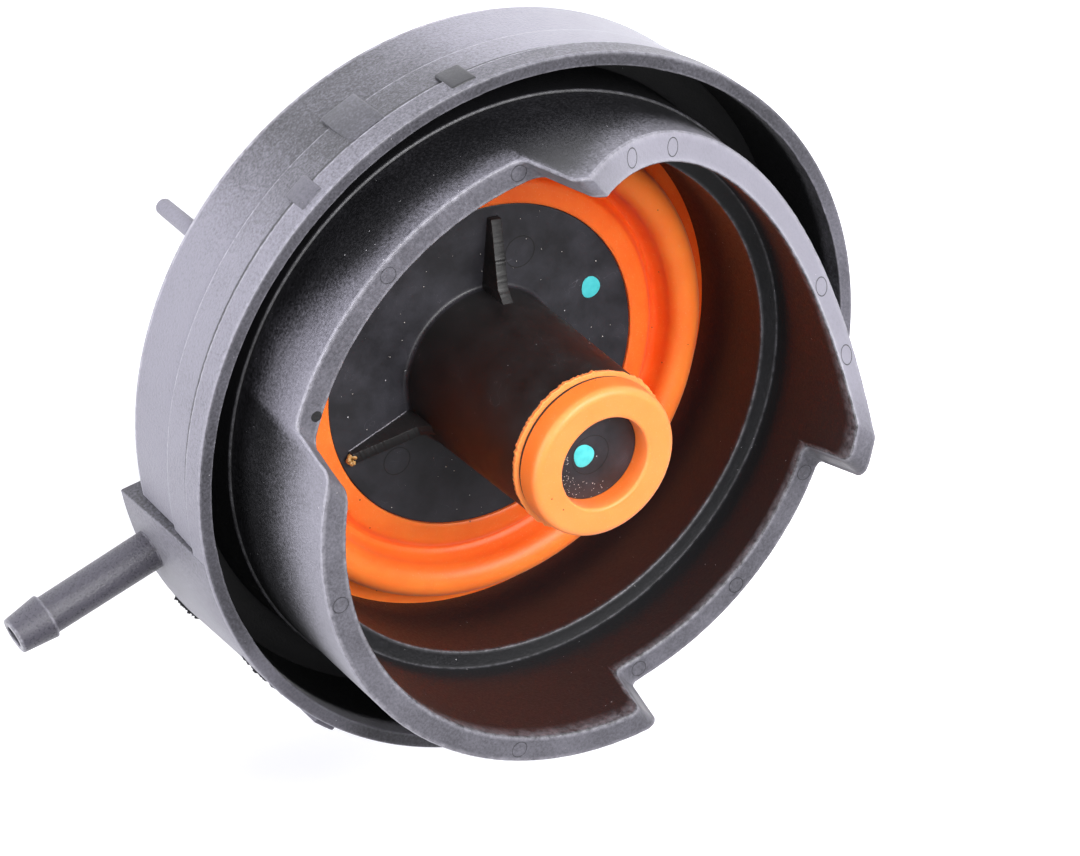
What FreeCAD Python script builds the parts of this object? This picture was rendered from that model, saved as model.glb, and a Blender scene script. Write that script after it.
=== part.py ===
import FreeCAD, Part
import math
import os
import Sketcher

# Crankcase ventilation diaphragm cap, sizes in millimetres.
# The origin is the middle of the skirt's front rim. +Z runs along the cap's axis, out of its open side.
# Distances along the axis count from the rim, so what lies behind the rim is negative.
# Angles are in degrees around +Z from +X. +X runs through the middle of one low gap in the cup's rim.

doc = FreeCAD.newDocument("cap")
sheet = doc.addObject("Spreadsheet::Sheet", "sizes")

DRIVING = {
    # outer skirt of the cover
    "rim_r": 39.95,
    "rim_depth": 2.95,
    "rim_wall": 1.5,
    "groove_width": 0.35,
    "groove_depth": 0.45,
    "band_step": 0.35,
    "band_taper": 0.3,
    "ridge_step": 0.3,
    "skirt_taper": 0.15,
    "skirt_wall": 0.85,
    "ridge_z": -8.26,
    "back_z": -16.95,
    "back_edge_round": 1.0,
    "dome_r": 28.5,
    "dome_back_z": -25.3,
    "dome_wall": 1.8,
    "dome_round": 2.0,
    # joint between cover, carrier and diaphragm
    "seat_r": 33.4,
    "seat_z": -14.0,
    "flange_z": -13.4,
    "clamp_z": -13.0,
    "bead_inner_r": 31.6,
    "bead_outer_r": 32.8,
    "bead_z": -12.3,
    # inner cup of the carrier
    "cup_r": 33.9,
    "cup_bore_r": 31.0,
    "cup_top_z": 14.45,
    "shoulder_z": -4.3,
    "shoulder_r": 34.25,
    "floor_z": -12.0,
    "ledge_z": -1.25,
    "throat_r": 29.0,
    "gap_z": 6.6,
    "gap_half_width": 17.5,
    "gap_top_half_width": 18.7,
    "gap2_half_width": 15.8,
    "gap2_top_half_width": 16.9,
    "gap_foot_round": 1.0,
    "gap_tip_round": 1.6,
    "saddle_angle": -89.0,
    "saddle_low_z": 3.3,
    "saddle_rise": 10.9,
    "saddle_half_angle": 52.0,
    "saddle_power": 2.15,
    "saddle_slope": 0.5,
    # diaphragm
    "web_thick": 1.0,
    "plate_seat_r": 18.75,
    "plate_back_z": -13.6,
    "rim_flat_r": 21.0,
    "rim_flat_z": -11.35,
    "valley_in_r": 21.8,
    "valley_out_r": 22.7,
    "valley_z": -12.6,
    "roll_r": 25.15,
    "roll_z": -11.3,
    "roll_round": 1.95,
    # piston
    "plate_z": -11.55,
    "stem_r": 9.25,
    "stem_tip_r": 8.8,
    "stem_tip_z": 9.6,
    "stem_round": 1.1,
    "stem_bore_r": 6.8,
    "stem_bore_top_z": 7.3,
    "nose_r": 5.15,
    "nose_z": 11.0,
    "fin_count": 3,
    "fin_angle": -46.0,
    "fin_thick": 1.5,
    "fin_end_r": 17.4,
    "fin_end_z": -10.75,
    "fin_root_z": -7.1,
    # tip seal
    "seal_r": 8.6,
    "seal_lip_r": 8.9,
    "seal_lip_z": 10.1,
    "seal_neck_r": 8.3,
    "seal_front_z": 13.45,
    "seal_shoulder": 0.5,
    # hose nipple and its boss
    "nipple_angle": 67.9,
    "nipple_z": -15.6,
    "nipple_root": 3.0,
    "nipple_reach": 18.3,
    "nipple_r": 2.15,
    "nipple_bore_r": 1.2,
    "barb_r": 2.52,
    "barb_tip_r": 2.0,
    "barb_length": 4.1,
    "boss_start": 60.0,
    "boss_sweep": 44.0,
    "boss_front_z": -7.3,
    "boss_back_z": -18.8,
    "boss_reach": 1.25,
    # small square lugs, raised pad and peg on the cover
    "lug_width": 2.95,
    "lug_front_z": -0.9,
    "lug_back_z": -4.7,
    "lug_height": 0.15,
    "lug_root": 0.8,
    "pad_width": 5.4,
    "pad_front_z": -3.4,
    "pad_back_z": -9.4,
    "pad_height": 0.45,
    "pad_root": 0.7,
    "pad_angle": -15.4,
    "peg_r": 0.95,
    "peg_inset": 2.25,
    "peg_angle": 14.1,
    "mark_r": 0.88,
    "mark_depth": 0.08,
    "plate_mark_r": 1.8,
}

DERIVED = {
    "band_r": "=rim_r - band_step",
    "band_back_r": "=rim_r - band_step - band_taper",
    "skirt_r": "=rim_r - band_step - band_taper - ridge_step",
    "skirt_back_r": "=rim_r - band_step - band_taper - ridge_step - skirt_taper",
    "skirt_bore_r": "=rim_r - band_step - band_taper - ridge_step - skirt_taper - skirt_wall",
    "lug_r": "=rim_r + lug_height",
    "lug_root_r": "=rim_r - band_step - lug_root",
    "pad_r": "=rim_r - band_step - band_taper - ridge_step + pad_height",
    "pad_root_r": "=rim_r - band_step - band_taper - pad_root",
    "peg_place_r": "=rim_r - band_step - band_taper - ridge_step - skirt_taper - peg_inset",
    "nipple_root_r": "=rim_r - band_step - band_taper - ridge_step - skirt_taper - skirt_wall - nipple_root",
    "nipple_end": "=rim_r - band_step - band_taper - ridge_step + nipple_reach",
    "boss_back_r": "=rim_r - band_step - band_taper - ridge_step + boss_reach",
    "boss_root_r": "=rim_r - band_step - band_taper - ridge_step - skirt_taper - skirt_wall / 2",
    "boss_inner_r": "=dome_r - 0.5",
    "boss_floor_z": "=back_z + 1.45",
    "rim_inner_r": "=rim_r - rim_wall",
    "rim_back_z": "=-rim_depth",
    "band_front_z": "=-rim_depth - groove_width",
    "groove_r": "=band_r - groove_depth",
    "dome_bore_r": "=dome_r - dome_wall",
    "dome_floor_z": "=dome_back_z + dome_wall",
    "web_back_z": "=plate_back_z - web_thick",
    "flange_back_z": "=clamp_z - web_thick",
    "roll_in_r": "=roll_r - roll_round",
    "roll_out_r": "=roll_r + roll_round",
    "roll_under": "=roll_round - web_thick",
    "under_in_r": "=roll_r - roll_round + web_thick",
    "under_out_r": "=roll_r + roll_round - web_thick",
    "valley_back_z": "=valley_z - web_thick",
    "foot_z": "=clamp_z + 0.5",
    "foot_r": "=roll_r + roll_round + 0.5",
    "under_foot_r": "=roll_r + roll_round - web_thick + 0.3",
    "seal_flat_r": "=seal_r - seal_shoulder",
    "seal_side_z": "=seal_front_z - seal_shoulder",
    "seal_neck_z": "=seal_lip_z + 0.25",
    "barb_start": "=nipple_end - barb_length",
    "cup_above_z": "=cup_top_z + 2",
    "gap_tip_z": "=cup_top_z - gap_tip_round",
}

for row, (alias, value) in enumerate(list(DRIVING.items()) + list(DERIVED.items()), start=1):
    sheet.set("A%d" % row, alias)
    sheet.set("B%d" % row, str(value))
    sheet.setAlias("B%d" % row, alias)
doc.recompute()

LUG_ANGLES = (-29.6, -1.4, 99.5)
RIM_MARK_ANGLES = (-30.0, 0.0, 27.5, 60.0, 119.0, 154.5, 179.5, 205.0)
SADDLE_MARK_OFFSETS = (-38.6, -26.0, 26.0, 39.0)
PLATE_MARKS = ((13.2, -62.5), (13.6, 88.3))
X_AXIS = FreeCAD.Vector(1, 0, 0)
Z_AXIS = FreeCAD.Vector(0, 0, 1)


def size(alias):
    return float(sheet.get(alias))


def new_body(label):
    body = doc.addObject("PartDesign::Body", label)
    body.Label = label
    return body


def origin_plane(body, role):
    for feature in body.Origin.OriginFeatures:
        if feature.Role == role:
            return feature
    raise RuntimeError("no plane " + role)


def new_sketch(body, name, role):
    sketch = body.newObject("Sketcher::SketchObject", name)
    sketch.AttachmentSupport = [(origin_plane(body, role), "")]
    sketch.MapMode = "FlatFace"
    return sketch


def number(term):
    """A term is an alias, a minus sign and an alias, or a plain number."""
    if isinstance(term, (int, float)):
        return float(term)
    if term.startswith("-"):
        return -size(term[1:])
    return size(term)


def closed_profile(body, name, role, corners):
    """Draw corners (x, y) joined by lines, or by an arc where a corner gives a radius as third value.

    Each corner's two distances from the origin are bound to the table.
    A positive radius bends the arc clockwise on its way to the corner, a negative one the other way.
    """
    sketch = new_sketch(body, name, role)
    points = [(number(c[0]), number(c[1])) for c in corners]
    for i, corner in enumerate(corners):
        start = FreeCAD.Vector(points[i - 1][0], points[i - 1][1], 0)
        end = FreeCAD.Vector(points[i][0], points[i][1], 0)
        if len(corner) == 3:
            radius = number(corner[2])
            chord = end - start
            side = 1.0 if radius > 0 else -1.0
            height = math.sqrt(max(radius * radius - chord.Length ** 2 / 4, 0))
            normal = FreeCAD.Vector(-chord.y, chord.x, 0)
            normal.normalize()
            centre = (start + end) * 0.5 - normal * height * side
            middle = centre + normal * abs(radius) * side
            sketch.addGeometry(Part.Arc(start, middle, end), False)
        else:
            sketch.addGeometry(Part.LineSegment(start, end), False)
    ends = []
    for i, corner in enumerate(corners):
        if len(corner) == 3:
            first = sketch.getPoint(i, 1)
            begins = (first - FreeCAD.Vector(points[i - 1][0], points[i - 1][1], 0)).Length < 1e-6
            ends.append((1, 2) if begins else (2, 1))
        else:
            ends.append((1, 2))
    for i in range(len(corners)):
        j = (i + 1) % len(corners)
        sketch.addConstraint(Sketcher.Constraint("Coincident", i, ends[i][1], j, ends[j][0]))
    for i, corner in enumerate(corners):
        for axis, kind in ((0, "DistanceX"), (1, "DistanceY")):
            term = corner[axis]
            value = points[i][axis]
            if abs(value) < 1e-9:
                kind_on = "PointOnObject"
                line = -2 if axis == 0 else -1
                sketch.addConstraint(Sketcher.Constraint(kind_on, i, ends[i][1], line))
                continue
            made = sketch.addConstraint(Sketcher.Constraint(kind, -1, 1, i, ends[i][1], value))
            if isinstance(term, str):
                sign = "-" if term.startswith("-") else ""
                sketch.setExpression("Constraints[%d]" % made, sign + "<<sizes>>." + term.lstrip("-"))
        if len(corner) == 3:
            radius = corner[2]
            chord = math.dist(points[i - 1], points[i])
            if abs(chord - 2 * abs(number(radius))) < 1e-6:
                made = sketch.addConstraint(Sketcher.Constraint("DistanceY", -1, 1, i, 3, points[i][1]))
                sketch.setExpression("Constraints[%d]" % made, "<<sizes>>." + corner[1])
                continue
            made = sketch.addConstraint(Sketcher.Constraint("Radius", i, abs(number(radius))))
            if isinstance(radius, str):
                sketch.setExpression("Constraints[%d]" % made, "<<sizes>>." + radius.lstrip("-"))
    doc.recompute()
    if "Invalid" in sketch.State or "Error" in sketch.State:
        raise RuntimeError("sketch " + name)
    return sketch


def revolve(body, name, sketch, angle=None):
    feature = body.newObject("PartDesign::Revolution", name)
    feature.Profile = sketch
    feature.ReferenceAxis = (sketch, ["V_Axis"])
    feature.Angle = 360.0
    if angle:
        feature.setExpression("Angle", "<<sizes>>." + angle)
    doc.recompute()
    return feature


def volume(body):
    return body.Shape.Volume


def fillet(body, name, edges, radius):
    feature = body.newObject("PartDesign::Fillet", name)
    feature.Base = (body.Tip if body.Tip != feature else feature.BaseFeature, edges)
    feature.Radius = size(radius)
    feature.setExpression("Radius", "<<sizes>>." + radius)
    doc.recompute()
    return feature


def circle_edges(shape, radius, height, slack=0.02):
    """Names of the full circular edges of one radius at one height."""
    names = []
    for i, edge in enumerate(shape.Edges, start=1):
        curve = edge.Curve
        if not isinstance(curve, Part.Circle):
            continue
        if abs(curve.Radius - radius) < slack and abs(curve.Center.z - height) < slack:
            names.append("Edge%d" % i)
    return names


def cylinder(label, radius, length, place):
    """A cylinder whose radius and length are terms of the table."""
    item = doc.addObject("Part::Cylinder", label)
    item.setExpression("Radius", radius)
    item.setExpression("Height", length)
    item.Placement = place
    return item


def around(angle, point=FreeCAD.Vector(0, 0, 0), tilt=None):
    """A placement turned by an angle around +Z, for a shape first set at a point."""
    turn = FreeCAD.Rotation(Z_AXIS, angle)
    inner = tilt if tilt else FreeCAD.Rotation()
    return FreeCAD.Placement(turn.multVec(point), turn.multiply(inner))


# Cover
# One moulding: skirt, back, hollow dome behind the diaphragm.
shell = new_body("cover_shell")
shell_outline = closed_profile(shell, "shell_outline", "XZ_Plane", [
    (0.0, "dome_back_z"),
    ("dome_r", "dome_back_z"),
    ("dome_r", "back_z"),
    ("skirt_back_r", "back_z"),
    ("skirt_r", "ridge_z"),
    ("band_back_r", "ridge_z"),
    ("band_r", "band_front_z"),
    ("groove_r", "band_front_z"),
    ("groove_r", "rim_back_z"),
    ("rim_r", "rim_back_z"),
    ("rim_r", 0.0),
    ("rim_inner_r", 0.0),
    ("skirt_bore_r", "floor_z"),
    ("skirt_bore_r", "flange_z"),
    ("seat_r", "flange_z"),
    ("seat_r", "seat_z"),
    ("dome_bore_r", "seat_z"),
    ("dome_bore_r", "dome_floor_z"),
    (0.0, "dome_floor_z"),
])
revolve(shell, "shell_turned", shell_outline)
rounded = circle_edges(shell.Shape, size("skirt_back_r"), size("back_z"))
fillet(shell, "back_edge", rounded, "back_edge_round")
rounded = circle_edges(shell.Shape, size("dome_r"), size("dome_back_z"))
fillet(shell, "dome_edge", rounded, "dome_round")

# Boss under the nipple: a wedge that grows out of the skirt towards the back.
boss = new_body("nipple_boss")
boss_outline = closed_profile(boss, "boss_outline", "XZ_Plane", [
    ("boss_inner_r", "boss_back_z"),
    ("boss_back_r", "boss_back_z"),
    ("skirt_r", "boss_front_z"),
    ("boss_root_r", "boss_front_z"),
    ("boss_root_r", "boss_floor_z"),
    ("boss_inner_r", "boss_floor_z"),
])
boss_turned = revolve(boss, "boss_turned", boss_outline, "boss_sweep")
boss.Placement = around(size("boss_start"))
doc.recompute()

# Nipple: a tube square to the cap's axis, with a barb at its end. Its bore runs on inward to the dome.
along = FreeCAD.Rotation(FreeCAD.Vector(0, 1, 0), 90)
root_point = FreeCAD.Vector(size("nipple_root_r"), 0, size("nipple_z"))
tube = cylinder("nipple_tube", "<<sizes>>.nipple_r", "<<sizes>>.nipple_end - <<sizes>>.nipple_root_r",
                around(size("nipple_angle"), root_point, along))
barb = doc.addObject("Part::Cone", "nipple_barb")
barb.setExpression("Radius1", "<<sizes>>.barb_r")
barb.setExpression("Radius2", "<<sizes>>.barb_tip_r")
barb.setExpression("Height", "<<sizes>>.barb_length")
barb_point = FreeCAD.Vector(size("barb_start"), 0, size("nipple_z"))
barb.Placement = around(size("nipple_angle"), barb_point, along)
bore_point = FreeCAD.Vector(size("dome_bore_r") - 2.7, 0, size("nipple_z"))
nipple_bore = cylinder("nipple_bore", "<<sizes>>.nipple_bore_r", "<<sizes>>.nipple_end - <<sizes>>.dome_bore_r + 3.7",
                       around(size("nipple_angle"), bore_point, along))


def curved_block(label, outer, inner, back, front, width, angle):
    """A square lug that follows the skirt: an arc-shaped piece between two radii."""
    reach = number(outer)
    sweep = math.degrees(number(width) / reach)
    low = number(back)
    tall = number(front) - low
    big = doc.addObject("Part::Cylinder", label + "_outer")
    big.setExpression("Radius", "<<sizes>>." + outer)
    big.Height = tall
    big.setExpression("Height", "<<sizes>>.%s - <<sizes>>.%s" % (front, back))
    big.setExpression("Angle", "<<sizes>>.%s / <<sizes>>.%s * 180 / pi" % (width, outer))
    big.Placement = around(angle - sweep / 2, FreeCAD.Vector(0, 0, low))
    core = doc.addObject("Part::Cylinder", label + "_core")
    core.setExpression("Radius", "<<sizes>>." + inner)
    core.Height = tall + 2
    core.Placement = FreeCAD.Placement(FreeCAD.Vector(0, 0, low - 1), FreeCAD.Rotation())
    piece = doc.addObject("Part::Cut", label)
    piece.Base = big
    piece.Tool = core
    return piece


lugs = [curved_block("lug_%d" % n, "lug_r", "lug_root_r", "lug_back_z", "lug_front_z", "lug_width", angle)
        for n, angle in enumerate(LUG_ANGLES, start=1)]
pad = curved_block("pad", "pad_r", "pad_root_r", "pad_back_z", "pad_front_z", "pad_width", size("pad_angle"))
peg_point = FreeCAD.Vector(size("peg_place_r"), 0, size("dome_back_z"))
peg = cylinder("peg", "<<sizes>>.peg_r", "<<sizes>>.back_z - <<sizes>>.dome_back_z + 1",
               around(size("peg_angle"), peg_point))

joined = doc.addObject("Part::MultiFuse", "cover_solid")
joined.Shapes = [shell, boss, tube, barb, peg, pad] + lugs
dome_hollow = cylinder("dome_hollow", "<<sizes>>.dome_bore_r",
                       "<<sizes>>.seat_z - <<sizes>>.dome_floor_z",
                       FreeCAD.Placement(FreeCAD.Vector(0, 0, size("dome_floor_z")), FreeCAD.Rotation()))
hollows = doc.addObject("Part::MultiFuse", "cover_hollows")
hollows.Shapes = [dome_hollow, nipple_bore]
cover = doc.addObject("Part::Cut", "cover")
cover.Base = joined
cover.Tool = hollows
cover.Label = "cover"
doc.recompute()

# Carrier
# The inner cup with the channel's floor. Two opposite gaps and one long dip are cut into its rim.
carrier = new_body("carrier_cup")
cup_outline = closed_profile(carrier, "cup_outline", "XZ_Plane", [
    ("cup_bore_r", "cup_top_z"),
    ("cup_bore_r", "ledge_z"),
    ("throat_r", "ledge_z"),
    ("throat_r", "clamp_z"),
    ("bead_inner_r", "clamp_z"),
    ("bead_inner_r", "bead_z"),
    ("bead_outer_r", "bead_z"),
    ("bead_outer_r", "clamp_z"),
    ("seat_r", "clamp_z"),
    ("seat_r", "flange_z"),
    ("skirt_bore_r", "flange_z"),
    ("skirt_bore_r", "floor_z"),
    ("shoulder_r", "floor_z"),
    ("shoulder_r", "shoulder_z"),
    ("cup_r", "shoulder_z"),
    ("cup_r", "cup_top_z"),
])
revolve(carrier, "cup_turned", cup_outline)


def rim_gap(name, half, top_half, outwards):
    """A gap with leaning sides, rounded tips and rounded foot corners, cut along the X direction."""
    tip = number("gap_tip_round")
    wide = number(top_half) + tip
    lean = (number(top_half) - number(half)) / (number("gap_tip_z") - number("gap_z"))
    foot = number("gap_foot_round")
    corners = [
        (number(half) - foot, "gap_z"),
        (number(half) + lean * foot, number("gap_z") + foot, -foot * 1.03),
        (top_half, "gap_tip_z"),
        (wide, "cup_top_z", tip * 1.0),
        (wide, "cup_above_z"),
        (-wide, "cup_above_z"),
        (-wide, "cup_top_z"),
        ("-" + top_half, "gap_tip_z", tip * 1.0),
        (-number(half) - lean * foot, number("gap_z") + foot),
        (-number(half) + foot, "gap_z", -foot * 1.03),
    ]
    sketch = closed_profile(carrier, name + "_outline", "YZ_Plane", corners)
    before = volume(carrier)
    pocket = carrier.newObject("PartDesign::Pocket", name)
    pocket.Profile = sketch
    pocket.Length = 60.0
    pocket.Reversed = outwards
    doc.recompute()
    if volume(carrier) > before - 1:
        raise RuntimeError(name + " removes nothing")


rim_gap("gap_plus_x", "gap_half_width", "gap_top_half_width", True)
rim_gap("gap_minus_x", "gap2_half_width", "gap2_top_half_width", False)


def saddle_height(offset, inner):
    """Height of the rim's long dip at an angle from its middle, at the outer or the inner edge."""
    share = abs(offset) / size("saddle_half_angle")
    rise = size("saddle_rise") * share ** size("saddle_power")
    lift = size("saddle_slope") * (size("cup_r") - inner)
    return size("saddle_low_z") + rise + lift


def saddle_curve(radius):
    points = []
    for step in range(-12, 13):
        offset = step / 12.0 * 70.0
        angle = math.radians(size("saddle_angle") + offset)
        height = saddle_height(offset, radius)
        points.append(FreeCAD.Vector(radius * math.cos(angle), radius * math.sin(angle), height))
    curve = Part.BSplineCurve()
    curve.interpolate(points)
    return curve.toShape()


dip_face = Part.makeRuledSurface(saddle_curve(size("cup_bore_r") - 1.5), saddle_curve(size("cup_r") + 1.5))
dip = doc.addObject("Part::Feature", "rim_dip")
dip.Shape = dip_face.extrude(FreeCAD.Vector(0, 0, 40))

marks = []
for n, angle in enumerate(RIM_MARK_ANGLES, start=1):
    high = 40 < angle % 360 < 140
    face_z = size("cup_top_z") if high else size("gap_z")
    point = FreeCAD.Vector((size("cup_bore_r") + size("cup_r")) / 2, 0, face_z - size("mark_depth"))
    marks.append(cylinder("rim_mark_%d" % n, "<<sizes>>.mark_r", "2", around(angle, point)))
for n, offset in enumerate(SADDLE_MARK_OFFSETS, start=1):
    middle = (size("cup_bore_r") + size("cup_r")) / 2
    point = FreeCAD.Vector(middle, 0, saddle_height(offset, middle) - size("mark_depth"))
    marks.append(cylinder("dip_mark_%d" % n, "<<sizes>>.mark_r", "9", around(size("saddle_angle") + offset, point)))

cup_cuts = doc.addObject("Part::MultiFuse", "cup_cuts")
cup_cuts.Shapes = [dip] + marks
carrier_part = doc.addObject("Part::Cut", "carrier")
carrier_part.Base = carrier
carrier_part.Tool = cup_cuts
carrier_part.Label = "carrier"
doc.recompute()

# Diaphragm
# Rubber disc with a raised roll near its edge and a bead that the carrier clamps.
diaphragm = new_body("diaphragm")
rubber_outline = closed_profile(diaphragm, "rubber_outline", "XZ_Plane", [
    (0.0, "plate_back_z"),
    ("plate_seat_r", "plate_back_z"),
    ("plate_seat_r", "rim_flat_z"),
    ("rim_flat_r", "rim_flat_z"),
    ("valley_in_r", "valley_z"),
    ("valley_out_r", "valley_z"),
    ("roll_in_r", "roll_z"),
    ("roll_out_r", "roll_z", "roll_round"),
    ("roll_out_r", "foot_z"),
    ("foot_r", "clamp_z"),
    ("bead_inner_r", "clamp_z"),
    ("bead_inner_r", "bead_z"),
    ("bead_outer_r", "bead_z"),
    ("bead_outer_r", "clamp_z"),
    ("seat_r", "clamp_z"),
    ("seat_r", "flange_back_z"),
    ("under_foot_r", "flange_back_z"),
    ("under_out_r", "clamp_z"),
    ("under_out_r", "roll_z"),
    ("under_in_r", "roll_z", "-roll_under"),
    ("valley_out_r", "valley_back_z"),
    ("valley_in_r", "valley_back_z"),
    ("rim_flat_r", "web_back_z"),
    (0.0, "web_back_z"),
])
revolve(diaphragm, "rubber_turned", rubber_outline)

# Piston
# Round plate with a long stem, cored from the back, and three fins between plate and stem.
piston = new_body("piston")
piston_outline = closed_profile(piston, "piston_outline", "XZ_Plane", [
    (0.0, "nose_z"),
    (0.0, "stem_bore_top_z"),
    ("stem_bore_r", "stem_bore_top_z"),
    ("stem_bore_r", "plate_back_z"),
    ("plate_seat_r", "plate_back_z"),
    ("plate_seat_r", "plate_z"),
    ("stem_r", "plate_z"),
    ("stem_tip_r", "stem_tip_z"),
    ("nose_r", "stem_tip_z"),
    ("nose_r", "nose_z"),
])
revolve(piston, "piston_turned", piston_outline)
foot = circle_edges(piston.Shape, size("stem_r"), size("plate_z"))
fillet(piston, "stem_foot", foot, "stem_round")
fin_outline = closed_profile(piston, "fin_outline", "XZ_Plane", [
    (8.2, -12.3),
    ("fin_end_r", -12.3),
    ("fin_end_r", "fin_end_z"),
    (8.2, "fin_root_z"),
])
before = volume(piston)
fin = piston.newObject("PartDesign::Pad", "fin")
fin.Profile = fin_outline
fin.Midplane = True
fin.setExpression("Length", "<<sizes>>.fin_thick")
doc.recompute()
if volume(piston) < before + 1:
    raise RuntimeError("fin adds nothing")
fins = piston.newObject("PartDesign::PolarPattern", "fins")
fins.Originals = [fin]
fins.Axis = (fin_outline, ["V_Axis"])
fins.Angle = 360.0
fins.setExpression("Occurrences", "<<sizes>>.fin_count")
piston.Tip = fins
doc.recompute()
mark_sketch = new_sketch(piston, "plate_marks", "XY_Plane")
mark_sketch.AttachmentOffset = FreeCAD.Placement(FreeCAD.Vector(0, 0, size("plate_z")), FreeCAD.Rotation())
for place_r, angle in PLATE_MARKS:
    turn = math.radians(angle - size("fin_angle"))
    centre = FreeCAD.Vector(place_r * math.cos(turn), place_r * math.sin(turn), 0)
    made = mark_sketch.addGeometry(Part.Circle(centre, Z_AXIS, size("plate_mark_r")), False)
    held = mark_sketch.addConstraint(Sketcher.Constraint("Radius", made, size("plate_mark_r")))
    mark_sketch.setExpression("Constraints[%d]" % held, "<<sizes>>.plate_mark_r")
doc.recompute()
before = volume(piston)
plate_pocket = piston.newObject("PartDesign::Pocket", "plate_pocket")
plate_pocket.Profile = mark_sketch
plate_pocket.setExpression("Length", "<<sizes>>.mark_depth")
doc.recompute()
if volume(piston) > before - 0.1:
    raise RuntimeError("the plate's marks remove nothing")
piston.Placement = around(size("fin_angle"))

# Tip seal
# Rubber ring round the stem's nose, with a thin lip at its back.
seal = new_body("tip_seal")
seal_outline = closed_profile(seal, "seal_outline", "XZ_Plane", [
    ("nose_r", "stem_tip_z"),
    ("seal_lip_r", "stem_tip_z"),
    ("seal_lip_r", "seal_lip_z"),
    ("seal_neck_r", "seal_lip_z"),
    ("seal_neck_r", "seal_neck_z"),
    ("seal_r", "seal_neck_z"),
    ("seal_r", "seal_side_z"),
    ("seal_flat_r", "seal_front_z", "-seal_shoulder"),
    ("nose_r", "seal_front_z"),
])
revolve(seal, "seal_turned", seal_outline)
doc.recompute()

NODES = {
    "cover": cover,
    "carrier": carrier_part,
    "diaphragm": diaphragm,
    "piston": piston,
    "tip_seal": seal,
}

for item in doc.Objects:
    if "Invalid" in item.State or "Error" in item.State:
        raise RuntimeError("bad state: " + item.Name)
os.makedirs("parts", exist_ok=True)
for node, item in NODES.items():
    shape = item.Shape
    if shape.isNull() or not shape.isValid() or len(shape.Solids) != 1:
        raise RuntimeError("bad shape: " + node + " solids %d" % len(shape.Solids))
    shape.exportStep("parts/" + node + ".step")
    box = shape.BoundBox
    print(node, "volume %.1f" % shape.Volume, "x %.2f %.2f y %.2f %.2f z %.2f %.2f" % (
        box.XMin, box.XMax, box.YMin, box.YMax, box.ZMin, box.ZMax))
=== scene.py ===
import bmesh
import bpy
import math
import random
from mathutils import Matrix, Vector, noise


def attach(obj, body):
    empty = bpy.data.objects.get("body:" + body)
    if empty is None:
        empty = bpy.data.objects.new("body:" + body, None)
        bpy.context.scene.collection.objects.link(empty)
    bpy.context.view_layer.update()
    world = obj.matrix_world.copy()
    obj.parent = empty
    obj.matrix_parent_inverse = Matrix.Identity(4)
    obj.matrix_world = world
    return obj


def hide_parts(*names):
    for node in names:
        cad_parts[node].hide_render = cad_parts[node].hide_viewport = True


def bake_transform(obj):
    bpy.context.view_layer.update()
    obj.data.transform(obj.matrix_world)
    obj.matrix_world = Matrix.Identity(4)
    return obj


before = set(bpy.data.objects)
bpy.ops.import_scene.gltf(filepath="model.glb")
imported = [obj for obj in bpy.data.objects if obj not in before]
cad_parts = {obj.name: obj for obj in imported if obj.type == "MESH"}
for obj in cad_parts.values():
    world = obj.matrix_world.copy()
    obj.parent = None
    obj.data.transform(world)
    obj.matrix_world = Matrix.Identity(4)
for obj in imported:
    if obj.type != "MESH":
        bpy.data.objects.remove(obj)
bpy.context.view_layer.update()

# Cover shell: the skirt, the flat back and the hollow dome of the cap, moulded in black glass-filled nylon.
# The outside is blasted in the tool, so fibre ends give it a pale bloom; its pale colour is partly that and
# partly painted reflection of the soft boxes. The front rim stands a little proud of the band behind it, with
# a narrow step line between them.
MM = 0.001
RIM_R = 39.95
RIM_WIDTH = 1.5
RIM_DEPTH = 2.95
STEP_WIDTH = 0.32
STEP_DEPTH = 0.42
STEP_BACK_Z = -RIM_DEPTH - STEP_WIDTH
BAND_R = 39.6
BAND_BACK_R = 39.3
RIDGE_Z = -8.26
SKIRT_R = 39.0
SKIRT_BACK_R = 38.85
SKIRT_BORE_R = 38.0
CHANNEL_Z = -12.0
SEAT_Z = -13.4
SEAT_R = 33.4
CLAMP_Z = -14.0
CLAMP_R = 26.7
BACK_Z = -16.95
DOME_R = 28.5
DOME_BACK_Z = -25.3
DOME_FLOOR_Z = -23.5
PAD_ANGLE = -14.6
LONG_RUN = 0.7
EDGE_ROWS = (0.18, 0.45)
ROW_SPACING = 1.6
CLOUD_MM = 7.0
RUB_MM = 0.9
FLAKE_MM = 0.9
FLAKE_GROUP_MM = 4.0


def ease(share):
    """A share held between 0 and 1 and eased at both ends."""
    share = min(1.0, max(0.0, share))
    return share * share * (3 - 2 * share)


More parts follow.
